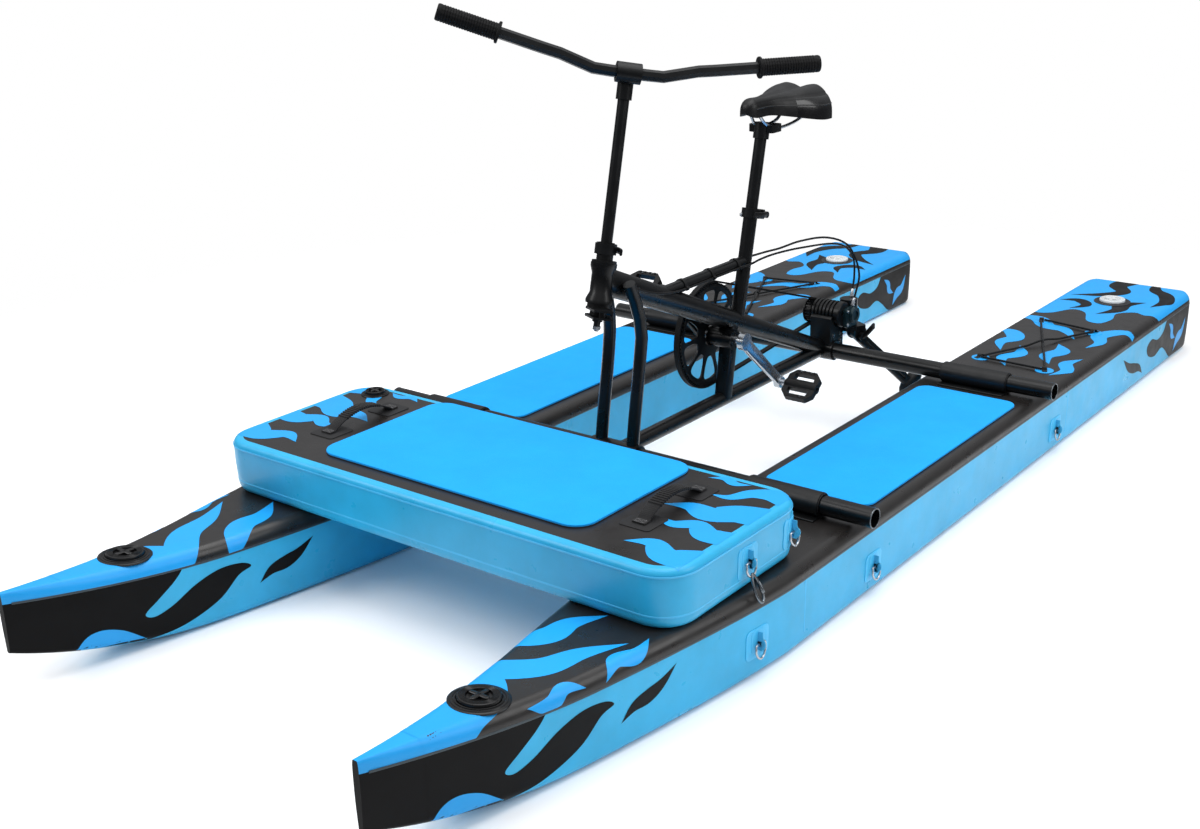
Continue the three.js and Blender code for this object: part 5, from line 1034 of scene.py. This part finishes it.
for side, name in ((1, "left"), (-1, "right")):
    for end, y, looks in (
        ("bow", -1213, ("valve_black", "valve_black")), ("stern", 1267, ("pale_plastic", "dark_plastic")),
    ):
        slope = (hull_at(y - 5)[2] - hull_at(y + 5)[2]) / 10
        axis = Vector((0, slope, 1)).normalized()
        valve(f"{end}_{name}", at(side * MIDDLE, y, hull_at(y)[2]), axis, *looks)
valve("platform", at(-460, -558, platform_top), Z, "valve_black", "valve_black", 0.62)


# %% [markdown]
# ## Carrying handles
# Each handle is a webbing strap over two stitched patches, with a ribbed grip in the middle. A
# bevelled curve could give the arch, but a swept section keeps the strap flat across. The ribs are
# slabs turned to the strap, and the stitches are tiny slabs in a box with a cross.

# %% Handles
HANDLE_X, HANDLE_Y, HANDLE_HALF, HANDLE_RISE = 368, platform_y + 22, 75, 24
PATCH_HALF, RIBS, ARCH_STEPS, TAIL_STEPS = 31, 16, 32, 3
STITCH_LONG, STITCH_HALF = 3, (1.05, 0.36)
patch_top = platform_top + 1.9


def handle_path():
    tail = [(HANDLE_HALF + 15 - 13 * i / 3, 0) for i in range(TAIL_STEPS)]
    arch = [
        (HANDLE_HALF * (2 * i / ARCH_STEPS - 1), HANDLE_RISE * math.sin(i / ARCH_STEPS * math.pi) ** 0.8)
        for i in range(ARCH_STEPS + 1)
    ]
    rows = [(-u, w) for u, w in tail] + arch + tail[::-1]
    return [at(HANDLE_X, HANDLE_Y + u, patch_top + 1.6 + w) for u, w in rows]


strap_line = handle_path()
handle = [swept("strap", strap_line, rounded(1.3, 12.5, 0.6, steps=2))]
for i in range(RIBS):
    k = TAIL_STEPS + (0.2 + 0.6 * (i + 0.5) / RIBS) * ARCH_STEPS
    a, b = strap_line[int(k)], strap_line[int(k) + 1]
    way = (b - a).normalized()
    place = Matrix((X, way, X.cross(way))).transposed().to_4x4()
    place.translation = a.lerp(b, k - int(k))
    handle.append(slab(
        "rib", rounded(13.1, 2.0, 1.2, steps=3), [(0, -2.0), (0, 2.3), (0.5, 2.9), (1.0, 3.1)],
        in_frame(place),
    ))
both_sides("handle_strap", merged("handle_strap", handle), "webbing", replaces=["platform_handle"], smooth=50)

# each patch has a box of stitches with a cross in it
patches, stitches = [], []
corners = [Vector(p) for p in ((-9, -5.5), (9, -5.5), (9, 5.5), (-9, 5.5))]
for toward in (1, -1):
    y = HANDLE_Y - toward * HANDLE_HALF
    patches.append(raised(
        "patch", moved(HANDLE_X, y, rounded(PATCH_HALF, PATCH_HALF, 8)), platform_tree, platform_aim,
        1.6, 0.9,
    ))
    foot = at(HANDLE_X, y - toward * 8, patch_top)
    for i, j in ((0, 1), (1, 2), (2, 3), (3, 0), (0, 2), (1, 3)):
        run = corners[j] - corners[i]
        way = run.normalized()
        count = max(2, round(run.length / STITCH_LONG))
        for k in range(count):
            middle = corners[i] + run * ((k + 0.5) / count)
            outline = [
                middle + way * u + Vector((-way.y, way.x)) * w for u, w in rounded(*STITCH_HALF, 0.3, steps=1)
            ]
            stitches.append(slab(
                "stitch", outline, [(0, 2.5), (0, 3.15), (0.12, 3.3)],
                lambda x, y, h: foot + Vector((x, y, h)) * MM,
            ))
both_sides("handle_patches", merged("handle_patches", patches), "webbing_patch")
both_sides("handle_stitches", merged("handle_stitches", stitches), "thread", smooth=0)


# %% [markdown]
# ## Stern cords
# One elastic cord lies on each stern, led round four welded loops and crossing itself once. It is
# taut, so it needs no simulation: its route is straight runs with small arcs, one run steps over
# the other, and a section with a faint braid is swept along it.

# %% Elastic cords
ANCHORS = {
    "inner_rear": Vector((328, 995)), "outer_rear": Vector((472, 968)),
    "outer_front": Vector((486, 625)), "inner_front": Vector((326, 636)),
}
ROUTE = (
    ("inner_rear", (7, 3)), ("outer_rear", (2, 4)), ("inner_front", (-2, -6)), ("outer_front", (4, -5)),
    ("inner_rear", (1, -7)),
)
CORD_RADIUS, CORD_BEND = 2.6, 9
CORD_Z = DECK + 1.6 + 0.5 + CORD_RADIUS
STEP_RISE, STEP_REACH = 2 * CORD_RADIUS + 0.6, 60
HALF_ARCH = [(15, 1.6), (10, 1.9), (6.6, 3.4), (5.4, 6.2), (3.4, 8.2)]
LOOP_ARCH = [(-u, w) for u, w in HALF_ARCH] + [(0, 8.9)] + HALF_ARCH[::-1]


def rounded_route(corners, radius, step=6):
    """Straight runs with arcs of a radius at the corners, in a plane of (x, y) millimetres."""
    route = [corners[0]]

    def straight_to(end):
        start = route[-1]
        count = max(1, round((end - start).length / step))
        route.extend([start.lerp(end, k / count) for k in range(1, count + 1)])

    for a, b, c in zip(corners, corners[1:], corners[2:]):
        before, after = (b - a).normalized(), (c - b).normalized()
        turn = before.angle(after)
        cut = radius * math.tan(turn / 2)
        hub = b + (after - before).normalized() * math.sqrt(radius ** 2 + cut ** 2)
        arm_a, arm_b = b - before * cut - hub, b + after * cut - hub
        straight_to(hub + arm_a)
        steps = max(4, round(turn * radius / 2))
        for k in range(1, steps + 1):
            mix = arm_a * math.sin((1 - k / steps) * turn) + arm_b * math.sin(k / steps * turn)
            route.append(hub + mix / math.sin(turn))
    straight_to(corners[-1])
    return route


def cord_height(p):
    """The run from the outer rear to the inner front steps over the other diagonal."""
    off = p - crossing
    aside, along = abs(off.x * over.y - off.y * over.x), abs(off.dot(over))
    if aside > 4 or along > STEP_REACH:
        return CORD_Z
    return CORD_Z + STEP_RISE * 0.5 * (1 + math.cos(math.pi * along / STEP_REACH))


crossing = geometry.intersect_line_line_2d(
    ANCHORS["inner_rear"], ANCHORS["outer_front"], ANCHORS["outer_rear"], ANCHORS["inner_front"],
)
over = (ANCHORS["inner_front"] - ANCHORS["outer_rear"]).normalized()
cord_route = rounded_route([ANCHORS[name] + Vector(off) for name, off in ROUTE], CORD_BEND)
braid = [(x * share, y * share) for (x, y), share in zip(circle(CORD_RADIUS, 16), [0.93, 1] * 8)]
for side, name in ((1, "left"), (-1, "right")):
    line = [at(side * p.x, p.y, cord_height(p)) for p in cord_route]
    tube = swept(f"bungee_{name}", line, braid, spin=0.12)
    piece = add(f"bungee_{name}", tube, "cord", replaces=[f"bungee_cord_{name}"], smooth=60)

patches, anchor_loops = [], []
middle = sum(ANCHORS.values(), Vector((0, 0))) / len(ANCHORS)
for spot in ANCHORS.values():
    disc = moved(spot.x - MIDDLE, spot.y, circle(21, 40))
    patches.append(raised("patch", disc, hull_tree, deck_aim, 1.5, 1.0))
    along = (middle - spot).normalized().to_3d()
    arch = [at(*spot, DECK) + (along * u + Z * (w + 0.7)) * MM for u, w in LOOP_ARCH]
    anchor_loops.append(swept(
        "loop", smooth_path(arch, 4), rounded(5.5, 0.6, 0.4, steps=2), side=Vector((-along.y, along.x, 0)),
    ))
both_sides("anchor_patches", merged("anchor_patches", patches), "print_blue")
both_sides("anchor_loops", merged("anchor_loops", anchor_loops), "webbing", smooth=50)


# %% [markdown]
# ## Steering cables
# Two sheathed cables lie along the tubes from a stop behind the head, and arch over to the gearbox.
# They are stiff, so a smooth curve through points read from the photograph fits them better than a
# hanging cord. Turned end fittings and swept clips hold them.

# %% Cables, stops and clips
CABLE_RADIUS, CLIP_RADIUS, EYE_RADIUS = 2.4, 12.3 + 0.9, 3.5
TUBE_RUN = [
    (22.4, -330, 499), (22.3, -275, 479), (20.6, -230, 468), (17.2, -190, 462), (14.4, -140, 459),
    (14.4, -60, 459), (14.4, 20, 459), (16.4, 60, 459.5), (18.2, 88, 460),
]
CABLE_ARCHES = {
    "left": [
        (16, 120, 461), (11, 168, 459), (8, 224, 455), (9, 303, 448), (15, 428, 433), (18, 495, 412),
        (21, 530, 378), (24, 532, 337), (26, 522, 305), (27, 517, 289),
    ],
    "right": [
        (-14, 124, 462), (1, 166, 466), (14, 207, 468), (22, 279, 470), (32, 372, 461), (42, 448, 434),
        (49, 485, 394), (54, 500, 346), (49, 492, 300), (46.3, 486, 276.9),
    ],
}
CABLE_END = [
    (0, -0.2), (5, -0.2), (5, 3.4), (3.6, 3.6), (3.6, 5), (4.6, 5.2), (4.6, 8.4), (3.3, 9), (3.3, 17),
    (2.6, 18), (2.45, 18),
]
CABLE_STOP = [(0, -3), (4.2, -3), (4.4, -2.4), (4.4, 8), (3.6, 9), (2.5, 9)]

for side, name in ((1, "left"), (-1, "right")):
    points = [(side * x, y, z) for x, y, z in TUBE_RUN] + CABLE_ARCHES[name]
    line = smooth_path([on_bike(*p) for p in points], 8)
    tube = swept(f"cable_{name}", line, circle(CABLE_RADIUS, 14))
    piece = add(f"cable_{name}", tube, "cable_black", replaces=[f"steering_cable_{name}"], smooth=60)
    end = turned(f"cable_end_{name}", CABLE_END, line[-1], line[-4] - line[-1], sides=24)
    add(f"cable_end_{name}", end, "bright_metal")
    base = slab(
        "base", rounded(3.2, 5.5, 1.4, steps=3), [(0, -1.6), (0, 3.2), (0.5, 3.7)],
        lambda x, y, h: line[0] + Vector((side * (h - 5.4), y, x)) * MM,
    )
    stop = turned("stop", CABLE_STOP, line[0], line[3] - line[0], sides=24)
    add(f"cable_stop_{name}", merged(f"cable_stop_{name}", [stop, base]), "black_metal")
clips = []
for y in (-150, -52, 46):
    band = [on_bike(CLIP_RADIUS * math.cos(a), y, 463.5 + CLIP_RADIUS * math.sin(a)) for a in angles(40)]
    clips.append(swept("band", band, rounded(0.7, 4.2, 0.4, steps=2), closed=True, side=X))
    for side in (1, -1):
        eye = [
            on_bike(side * 14.6 + EYE_RADIUS * math.cos(a), y, 459 + EYE_RADIUS * math.sin(a))
            for a in angles(24)
        ]
        clips.append(swept("eye", eye, rounded(0.9, 3.2, 0.4, steps=2), closed=True))
add("tube_clips", merged("tube_clips", clips), "black_plastic", smooth=50)


# %% [markdown]
# ## Saddle
# The saddle is a thick cushion with a channel, two lobes at the back, piped seams and a moulded
# base. Cloth could be simulated over a form, but this cover is stretched over firm foam and shows
# no folds, so it is one closed loft whose section changes from nose to tail.

# %% Cushion, piping and bumpers
SADDLE_Y, SADDLE_TOP, SADDLE_LENGTH = 204, 808, 246
NOSE_HALF, REAR_HALF, SADDLE_DEPTH = 21, 79, 62
LOBE_OUT, LOBE_REACH, LOBE_RISE = 40, 20, 7
CHANNEL_HALF, CHANNEL_DEPTH, SEAM_DEPTH = 9, 7, 1.6
SADDLE_STEPS, COVER_STEPS, BASE_STEPS = 60, 44, 12


def smoothstep(x, low, high):
    t = clamp((x - low) / (high - low), 0.0, 1.0)
    return t * t * (3 - 2 * t)


def saddle_point(share, angle):
    """share runs from nose to tail, angle round the section: the cover up to pi, then the base."""
    y = SADDLE_Y + (share - 0.5) * SADDLE_LENGTH
    widen = smoothstep(share, 0.2, 0.85)
    near_end = max(0, abs(share - 0.5) * 2 - 0.8) / 0.2
    ends = math.sqrt(max(0, 1 - min(1, near_end) ** 2))
    half = (NOSE_HALF + (REAR_HALF - NOSE_HALF) * widen) * (0.16 + 0.84 * ends)
    low = SADDLE_TOP - 5 - SADDLE_DEPTH * (0.62 + 0.38 * widen)
    top = SADDLE_TOP - 4 * (1 - smoothstep(share, 0, 0.5)) - 3 * math.sin(share * math.pi)
    top = low + (top - low) * (0.42 + 0.58 * ends)
    depth, raise_base = top - low, (1 - ends) * 9
    if angle > math.pi:
        x = -half * 0.86 * math.cos(angle - math.pi)
        return on_bike(x, y, top - depth + raise_base + 5 * ends * math.sin(angle - math.pi))
    c, s = math.cos(angle), max(0.0, math.sin(angle))
    x = half * math.copysign(abs(c) ** 0.8, c)
    z = top - (depth - raise_base) * (1 - s ** 0.6)
    lobes = smoothstep(share, 0.45, 0.8) * (1 - smoothstep(share, 0.93, 1))
    z += LOBE_RISE * lobes * math.exp(-((abs(x) - LOBE_OUT) / LOBE_REACH) ** 2)
    channel = smoothstep(share, 0.1, 0.35) * (1 - 0.3 * smoothstep(share, 0.8, 1))
    z -= CHANNEL_DEPTH * math.exp(-(x / CHANNEL_HALF) ** 2) * channel
    z -= SEAM_DEPTH * math.exp(-((abs(x) / max(half, 1) - 0.8) / 0.02) ** 2)
    return on_bike(x, y, z)


def saddle_share(i):
    return 0.5 - 0.5 * math.cos(i / SADDLE_STEPS * math.pi)


def saddle_mark(i, k):
    """0 cover, 1 glossy flanks at the rear, 2 base."""
    if k < 0 or k > COVER_STEPS:
        return 2
    return 1 if (k < 9 or k > 34) and saddle_share(i) > 0.52 else 0


section = [k * math.pi / COVER_STEPS for k in range(COVER_STEPS + 1)]
section += [math.pi + (k + 0.5) * math.pi / BASE_STEPS for k in range(BASE_STEPS)]
saddle = lofted("saddle_cushion", [
    [saddle_point(saddle_share(i), angle) for angle in section] for i in range(SADDLE_STEPS + 1)
], mark=saddle_mark)
cushion = add("saddle_cushion", saddle, ["saddle_skin", "saddle_gloss", "black_plastic"], body="seat",
              replaces=["saddle"], smooth=60)
piping = [
    swept("piping", [saddle_point(0.06 + 0.9 * i / 70, angle) for i in range(71)], circle(1.3, 8))
    for angle in (0.30, math.pi - 0.30)
]
add("saddle_piping", merged("saddle_piping", piping), "saddle_gloss", body="seat", smooth=60)
bumpers = [
    turned("bumper", [(0, 0), (7, 0), (8, 1), (8, 8), (6.5, 10), (0, 10)],
           on_bike(side * 34, SADDLE_Y + 92, SADDLE_TOP - 66), Z, sides=28)
    for side in (1, -1)
]
add("saddle_bumpers", merged("saddle_bumpers", bumpers), "black_plastic", body="seat")


# %% [markdown]
# ## Grips
# The rubber grips have a flange and rings of small pads. A profile is revolved about the axis
# measured on the CAD node that it replaces, and the grooves between the pads are then pressed in by
# moving vertices, because relief in a material wouldn't show in the outline.

# %% Rubber grips
GRIP_PITCH, GRIP_PADS, PAD_CUT = 5, 14, 0.45


def points_of(node):
    return [v.co for v in nodes[node].data.vertices]


def middle_of(points):
    return sum(points, Vector()) / len(points)


def long_axis(points):
    """The middle of some points, their longest direction and half their length along it."""
    middle = middle_of(points)
    far = max(points, key=lambda p: (p - middle).length)
    way = (far - max(points, key=lambda p: (p - far).length)).normalized()
    for _ in range(12):
        way = sum(((p - middle) * (p - middle).dot(way) for p in points), Vector()).normalized()
    reach = [(p - middle).dot(way) for p in points]
    return middle + way * (max(reach) + min(reach)) / 2, way, (max(reach) - min(reach)) / 2


def grip_profile(length):
    """Flange, then rings of small pads with grooves between, and a rounded end."""
    profile = [(11.4, 0), (19.4, 0), (20, 0.8), (20, 4), (19, 5), (15.6, 6)]
    h = 8
    while h < length - 14:
        profile += [
            (15.4, h), (15.9, h + 0.7), (15.9, h + 3.2), (15.4, h + 3.9), (14.9, h + 4.2), (14.9, h + 4.8),
        ]
        h += GRIP_PITCH
    return profile + [(15.6, length - 8), (15.6, length - 3), (14.4, length - 0.6), (12, length), (0, length)]


bar_middle = middle_of(points_of("handlebar"))
for side in ("left", "right"):
    centre, way, reach = long_axis(points_of(f"hand_grip_{side}"))
    if (centre - bar_middle).dot(way) < 0:
        way = -way
    start = centre - way * reach
    grip = turned(f"grip_{side}", grip_profile(2 * reach / MM), start, way, sides=56)
    for v in grip.vertices:
        along = (v.co - start).dot(way)
        arm = v.co - start - way * along
        if arm.length > 14.8 * MM and 7 * MM < along < 2 * reach - 9 * MM:
            angle = math.atan2(arm.dot(way.cross(Z)), arm.z)
            v.co -= arm.normalized() * (PAD_CUT * MM * (math.sin(angle * GRIP_PADS) > 0.2))
    add(f"grip_{side}", grip, "grip_rubber", body="bar", replaces=[f"hand_grip_{side}"], smooth=40)


# %% [markdown]
# ## Bolts, pins and rims
# Screws, a steering bolt, pedal studs and spindle ends show where the real bike is put together.
# Typed places could float or sink, so each of them is seated by a ray on the CAD node that carries
# it. The beams' rolled rims and the sleeves' hems are swept rings at the CAD model's own sizes.

# %% Fasteners, rims and hems
BEAM_YS, BEAM_Z, BEAM_HALF = (-376, 433), 177.3, 585


def seat_on(node, start, ray):
    """Where a ray first meets a node, and the way out of its surface there."""
    hit, normal, _, _ = tree_of(nodes[node].data).ray_cast(start, ray)
    if hit is None:
        return None, None
    return hit, -normal if normal.dot(ray) > 0 else normal


def cap_screws(node, places, radius, height, squarely=0.0):
    """Round heads with a recessed socket and a washer, at the (side, y, z) places of a node that face
    sideways by more than a share."""
    sunk = height - radius * 0.6
    profile = [
        (0, -0.3), (radius * 1.45, -0.3), (radius * 1.45, 0.7), (radius * 1.3, 1.0), (radius, 1.0),
        (radius, height), (radius * 0.86, height + 0.5), (radius * 0.52, height + 0.5), (radius * 0.46, sunk),
        (0, sunk),
    ]
    seats = [seat_on(node, at(30 + side * 110, y, z), -X * side) for side, y, z in places]
    return [
        turned("screw", profile, spot, out, sides=24) for spot, out in seats
        if spot is not None and abs(out.x) > squarely
    ]


def hex_nut(spot, axis, radius, height):
    body = slab("nut", circle(radius, 6), [(0, -0.3), (0, height - 0.8), (0.7, height)],
                in_frame(frame_to(spot, axis)))
    tip = turned("tip", [(0, height - 0.2), (radius * 0.55, height - 0.2), (radius * 0.55, height + 2.4),
                         (radius * 0.42, height + 3.2), (0, height + 3.2)], spot, axis, sides=20)
    return merged("nut", [body, tip])


# the gearbox's side plate and body, the bracket's bolts on the cross beam, and the seat clamp
screws = cap_screws("gearbox_plate", [(1, y, z) for z in (236, 268) for y in (459, 511)], 2.6, 2.4)
bolts = cap_screws("gearbox", [(-1, 437, 262), (-1, 511, 262)], 3.0, 2.6)
bolts += cap_screws(
    "drive_bracket", [(side, y, z) for y in (428, 460) for z in (196, 214) for side in (1, -1)],
    3.2, 3.0, squarely=0.9,
)
add("drive_screws", merged("drive_screws", screws), "bright_metal")
add("drive_bolts", merged("drive_bolts", bolts), "dark_steel")
add("clamp_screw", merged("clamp_screw", cap_screws("seat_clamp", [(-1, 96, 560)], 3.4, 3.0)), "bright_metal")

# the tip of the steering bolt below the plates
sleeve, post = points_of("steerer_sleeve"), points_of("stem_post")
foot, top = min(p.z for p in sleeve), max(p.z for p in post)
sleeve_low = middle_of([p for p in sleeve if p.z < foot + 12 * MM])
axis = (middle_of([p for p in post if p.z > top - 30 * MM]) - sleeve_low).normalized()
spot, _ = seat_on("steerer_sleeve", sleeve_low - axis * 60 * MM, axis)
add("steering_bolt", hex_nut(spot, -axis, 8.2, 6.5), "bright_metal", body="steering")

# pedals: studs on both faces
STUD = [(0, -0.4), (1.7, -0.4), (1.7, 2.0), (1.2, 2.5), (0, 2.5)]
for side in ("left", "right"):
    name = f"pedal_{side}"
    points = points_of(name)
    hub = Vector([(min(p[i] for p in points) + max(p[i] for p in points)) / 2 for i in range(3)])
    flat = [(p - hub).yz for p in points]
    angle = 0.5 * math.atan2(2 * sum(p.x * p.y for p in flat), sum(p.x ** 2 - p.y ** 2 for p in flat))
    long_way = Vector((0, math.cos(angle), math.sin(angle)))
    studs = []
    for face in (1, -1):
        out = Vector((0, -math.sin(angle), math.cos(angle))) * face
        for x in (-31, -12, 12, 31):
            for u in (-31, 31):
                spot, normal = seat_on(name, hub + (X * x + long_way * u + out * 50) * MM, -out)
                if spot is not None and normal.dot(out) > 0.8:
                    studs.append(turned("stud", STUD, spot, out, sides=12))
    add(f"pedal_studs_{side}", merged("studs", studs), "dark_steel", body=name)

# spindle ends in the crank arms
SPINDLE_END = [(0, -0.3), (7.8, -0.3), (7.8, 1.4), (7.0, 2.2), (4.2, 2.2), (3.8, -0.1), (0, -0.1)]
for side, name in ((1, "left"), (-1, "right")):
    spot, out = seat_on("crank_spindle", on_bike(side * 120, 4, 314), -X * side)
    add(f"crank_bolt_{name}", turned("bolt", SPINDLE_END, spot, out, sides=36), "dark_steel", body="crank")


def beam_ring(x, y, radius):
    return [at(x, y + radius * math.cos(a), BEAM_Z + radius * math.sin(a)) for a in angles(48)]


# rolled rims at the beams' open ends, and hems where the sleeves end round the beams
ends = [(y, side) for y in BEAM_YS for side in (1, -1)]
rims = [
    swept("rim", beam_ring(side * (BEAM_HALF - 0.6), y, 17.6), circle(1.1, 8), closed=True, side=X)
    for y, side in ends
]
hems = [
    swept("hem", beam_ring(side * x, y, 20.3), rounded(1.4, 1.1, 0.7, steps=3), closed=True, side=X)
    for y, side in ends for x in (481.2, 328.8)
]
add("beam_rims", merged("beam_rims", rims), "dark_steel", smooth=60)
add("sleeve_hems", merged("sleeve_hems", hems), "black_plastic", smooth=60)


# %% [markdown]
# ## Toothed belt ring
# The rim carries 88 teeth under the belt, and a web of ten spokes leaves long open windows. A
# boolean could cut them from a disc, but it leaves ragged faces. Here each tenth of the web is a
# sheet whose border and window share their angles, and the window's edges are chamfered.

# %% Rim and web
RING_TEETH, BELT_PITCH, TOOTH_DEPTH = 88, 8, 3.2
RING_TIP = RING_TEETH * BELT_PITCH / TURN
RING_BORE, HUB_RADIUS = RING_TIP - 8.5, 22
RIM_OUT, RIM_IN, WEB_THICK = -29, -15, 4
WEB_REACH = RING_BORE + 0.8
WINDOWS, WINDOW_LOW, WINDOW_HIGH, SPOKE_HALF = 10, 47, 97, 4.6
HALF_WINDOW = TURN / WINDOWS / 2
CRANK_HUB = at(0, 4, 314)


def on_ring(x, r, angle):
    return CRANK_HUB + Vector((x, r * math.cos(angle), r * math.sin(angle))) * MM


def rim_mesh():
    root = RING_TIP - TOOTH_DEPTH
    outline = [
        ((i + share) * TURN / RING_TEETH, r) for i in range(RING_TEETH)
        for share, r in ((-0.3, root), (-0.2, RING_TIP), (0.2, RING_TIP), (0.3, root))
    ]
    points = []
    for x, bore in (
        (RIM_OUT, None), (RIM_IN, None), (RIM_IN, 1.4), (RIM_IN - 0.9, 0.3), (RIM_OUT + 0.9, 0.3),
        (RIM_OUT, 1.4),
    ):
        points += [on_ring(x, r if bore is None else RING_BORE + bore, angle) for angle, r in outline]
    return mesh_of("belt_ring_rim", points, quads(6, len(outline), closed=True))


def window_point(angle, wider):
    """A window about its own middle: wide towards the rim, with round corners."""
    u, w = (math.copysign(abs(v) ** 0.62, v) for v in (math.cos(angle), math.sin(angle)))
    r = (WINDOW_LOW + WINDOW_HIGH) / 2 + (WINDOW_HIGH - WINDOW_LOW) / 2 * u
    return Vector((r + wider * u, (r * math.tan(HALF_WINDOW) - SPOKE_HALF + wider) * w))


def sector_point(angle):
    """Where a ray from a window's middle leaves its sector of the web."""
    middle = Vector(((WINDOW_LOW + WINDOW_HIGH) / 2, 0))
    way = Vector((math.cos(angle), math.sin(angle)))
    found = []
    for a in (HALF_WINDOW, -HALF_WINDOW):
        side = Vector((math.cos(a), math.sin(a)))
        across = way.x * side.y - way.y * side.x
        if abs(across) > 1e-9:
            found.append(-(middle.x * side.y - middle.y * side.x) / across)
    along = middle.dot(way)
    found.append(-along + math.sqrt(along ** 2 - middle.length_squared + WEB_REACH ** 2))
    inner = along ** 2 - middle.length_squared + HUB_RADIUS ** 2
    if inner > 0:
        found.append(-along - math.sqrt(inner))
    return middle + way * min(t for t in found if t > 1e-6)


def web_mesh():
    middle = (WINDOW_LOW + WINDOW_HIGH) / 2
    corners = [
        math.atan2(r * math.sin(a), r * math.cos(a) - middle) % TURN
        for r in (HUB_RADIUS, WEB_REACH) for a in (HALF_WINDOW, -HALF_WINDOW)
    ]
    turns = sorted(angles(40) + corners)
    face, back = RIM_IN, RIM_IN - WEB_THICK
    rows = [(face, None), (face, 0.7), (face - 0.7, 0.0), (back + 0.7, 0.0), (back, 0.7), (back, None)]
    points, faces = [], []
    for i in range(WINDOWS):
        faces += quads(len(rows), len(turns), first=len(points))
        for x, wider in rows:
            for a in turns:
                p = sector_point(a) if wider is None else window_point(a, wider)
                points.append(on_ring(x, p.length, (i + 0.5) * TURN / WINDOWS + math.atan2(p.y, p.x)))
    return recalculated(mesh_of("belt_ring_web", points, faces), 2e-6)


add("belt_ring_web", merged("belt_ring_web", [rim_mesh(), web_mesh()]), "black_metal", body="crank",
    replaces=["belt_ring"], smooth=40)


# %% [markdown]
# ## CAD nodes that stay: smoothed by modifiers, with their own finishes
# Tubes, plates, levers and the drive are right as CAD solids, so they aren't modelled again. Their
# meshes are loose triangles and stay as they are: a small geometry node group merges them and
# smooths all but the sharp edges.

# %% Finishes on the CAD nodes
SHARP_FROM = math.radians(38)
NODE_LOOKS = {
    "frame_paint": "front_beam rear_beam head_tube main_tube lower_tube seat_tube top_tube bottom_bracket "
                   "front_cradle",
    "sleeve_rubber": "front_sleeve_left front_sleeve_right rear_sleeve_left rear_sleeve_right",
    "black_metal": "steering_plates steerer_sleeve post_lever stem_post handlebar seat_clamp seat_lever "
                   "seat_post saddle_clamp crank_arm_right drive_pulley gearbox drive_bracket steering_yoke "
                   "drive_leg tilt_lever",
    "bright_metal": "saddle_rails crank_spindle crank_arm_left",
    "black_plastic": "pedal_left pedal_right propeller",
    "belt_rubber": "drive_belt",
    "teal_metal": "gearbox_plate",
}


def smoothing_group():
    tree = bpy.data.node_groups.new("smooth_by_angle", "GeometryNodeTree")
    tree.interface.new_socket("Geometry", in_out="INPUT", socket_type="NodeSocketGeometry")
    tree.interface.new_socket("Geometry", in_out="OUTPUT", socket_type="NodeSocketGeometry")
    start = new_node(tree, "NodeGroupInput")
    weld = new_node(tree, "GeometryNodeMergeByDistance", {"Geometry": start.outputs[0], "Distance": 2e-6})
    welded = weld.outputs["Geometry"]
    smooth = new_node(tree, "GeometryNodeSetShadeSmooth", {"Geometry": welded}, domain="FACE")
    angle = new_node(tree, "GeometryNodeInputMeshEdgeAngle").outputs["Unsigned Angle"]
    sharp = new_node(tree, "FunctionNodeCompare", {"A": angle, "B": SHARP_FROM}, data_type="FLOAT",
                     operation="GREATER_THAN")
    edges = new_node(tree, "GeometryNodeSetShadeSmooth", {
        "Geometry": smooth.outputs["Geometry"], "Selection": sharp.outputs["Result"], "Shade Smooth": False,
    }, domain="EDGE")
    new_node(tree, "NodeGroupOutput", {0: edges.outputs["Geometry"]})
    return tree


smoothing = smoothing_group()
for look, names in NODE_LOOKS.items():
    for name in names.split():
        node = nodes[name]
        node.data.materials.clear()
        node.data.materials.append(MATERIALS[look])
        node.modifiers.new("smooth", "NODES").node_group = smoothing
    print(f"{look}: {len(names.split())} CAD nodes")
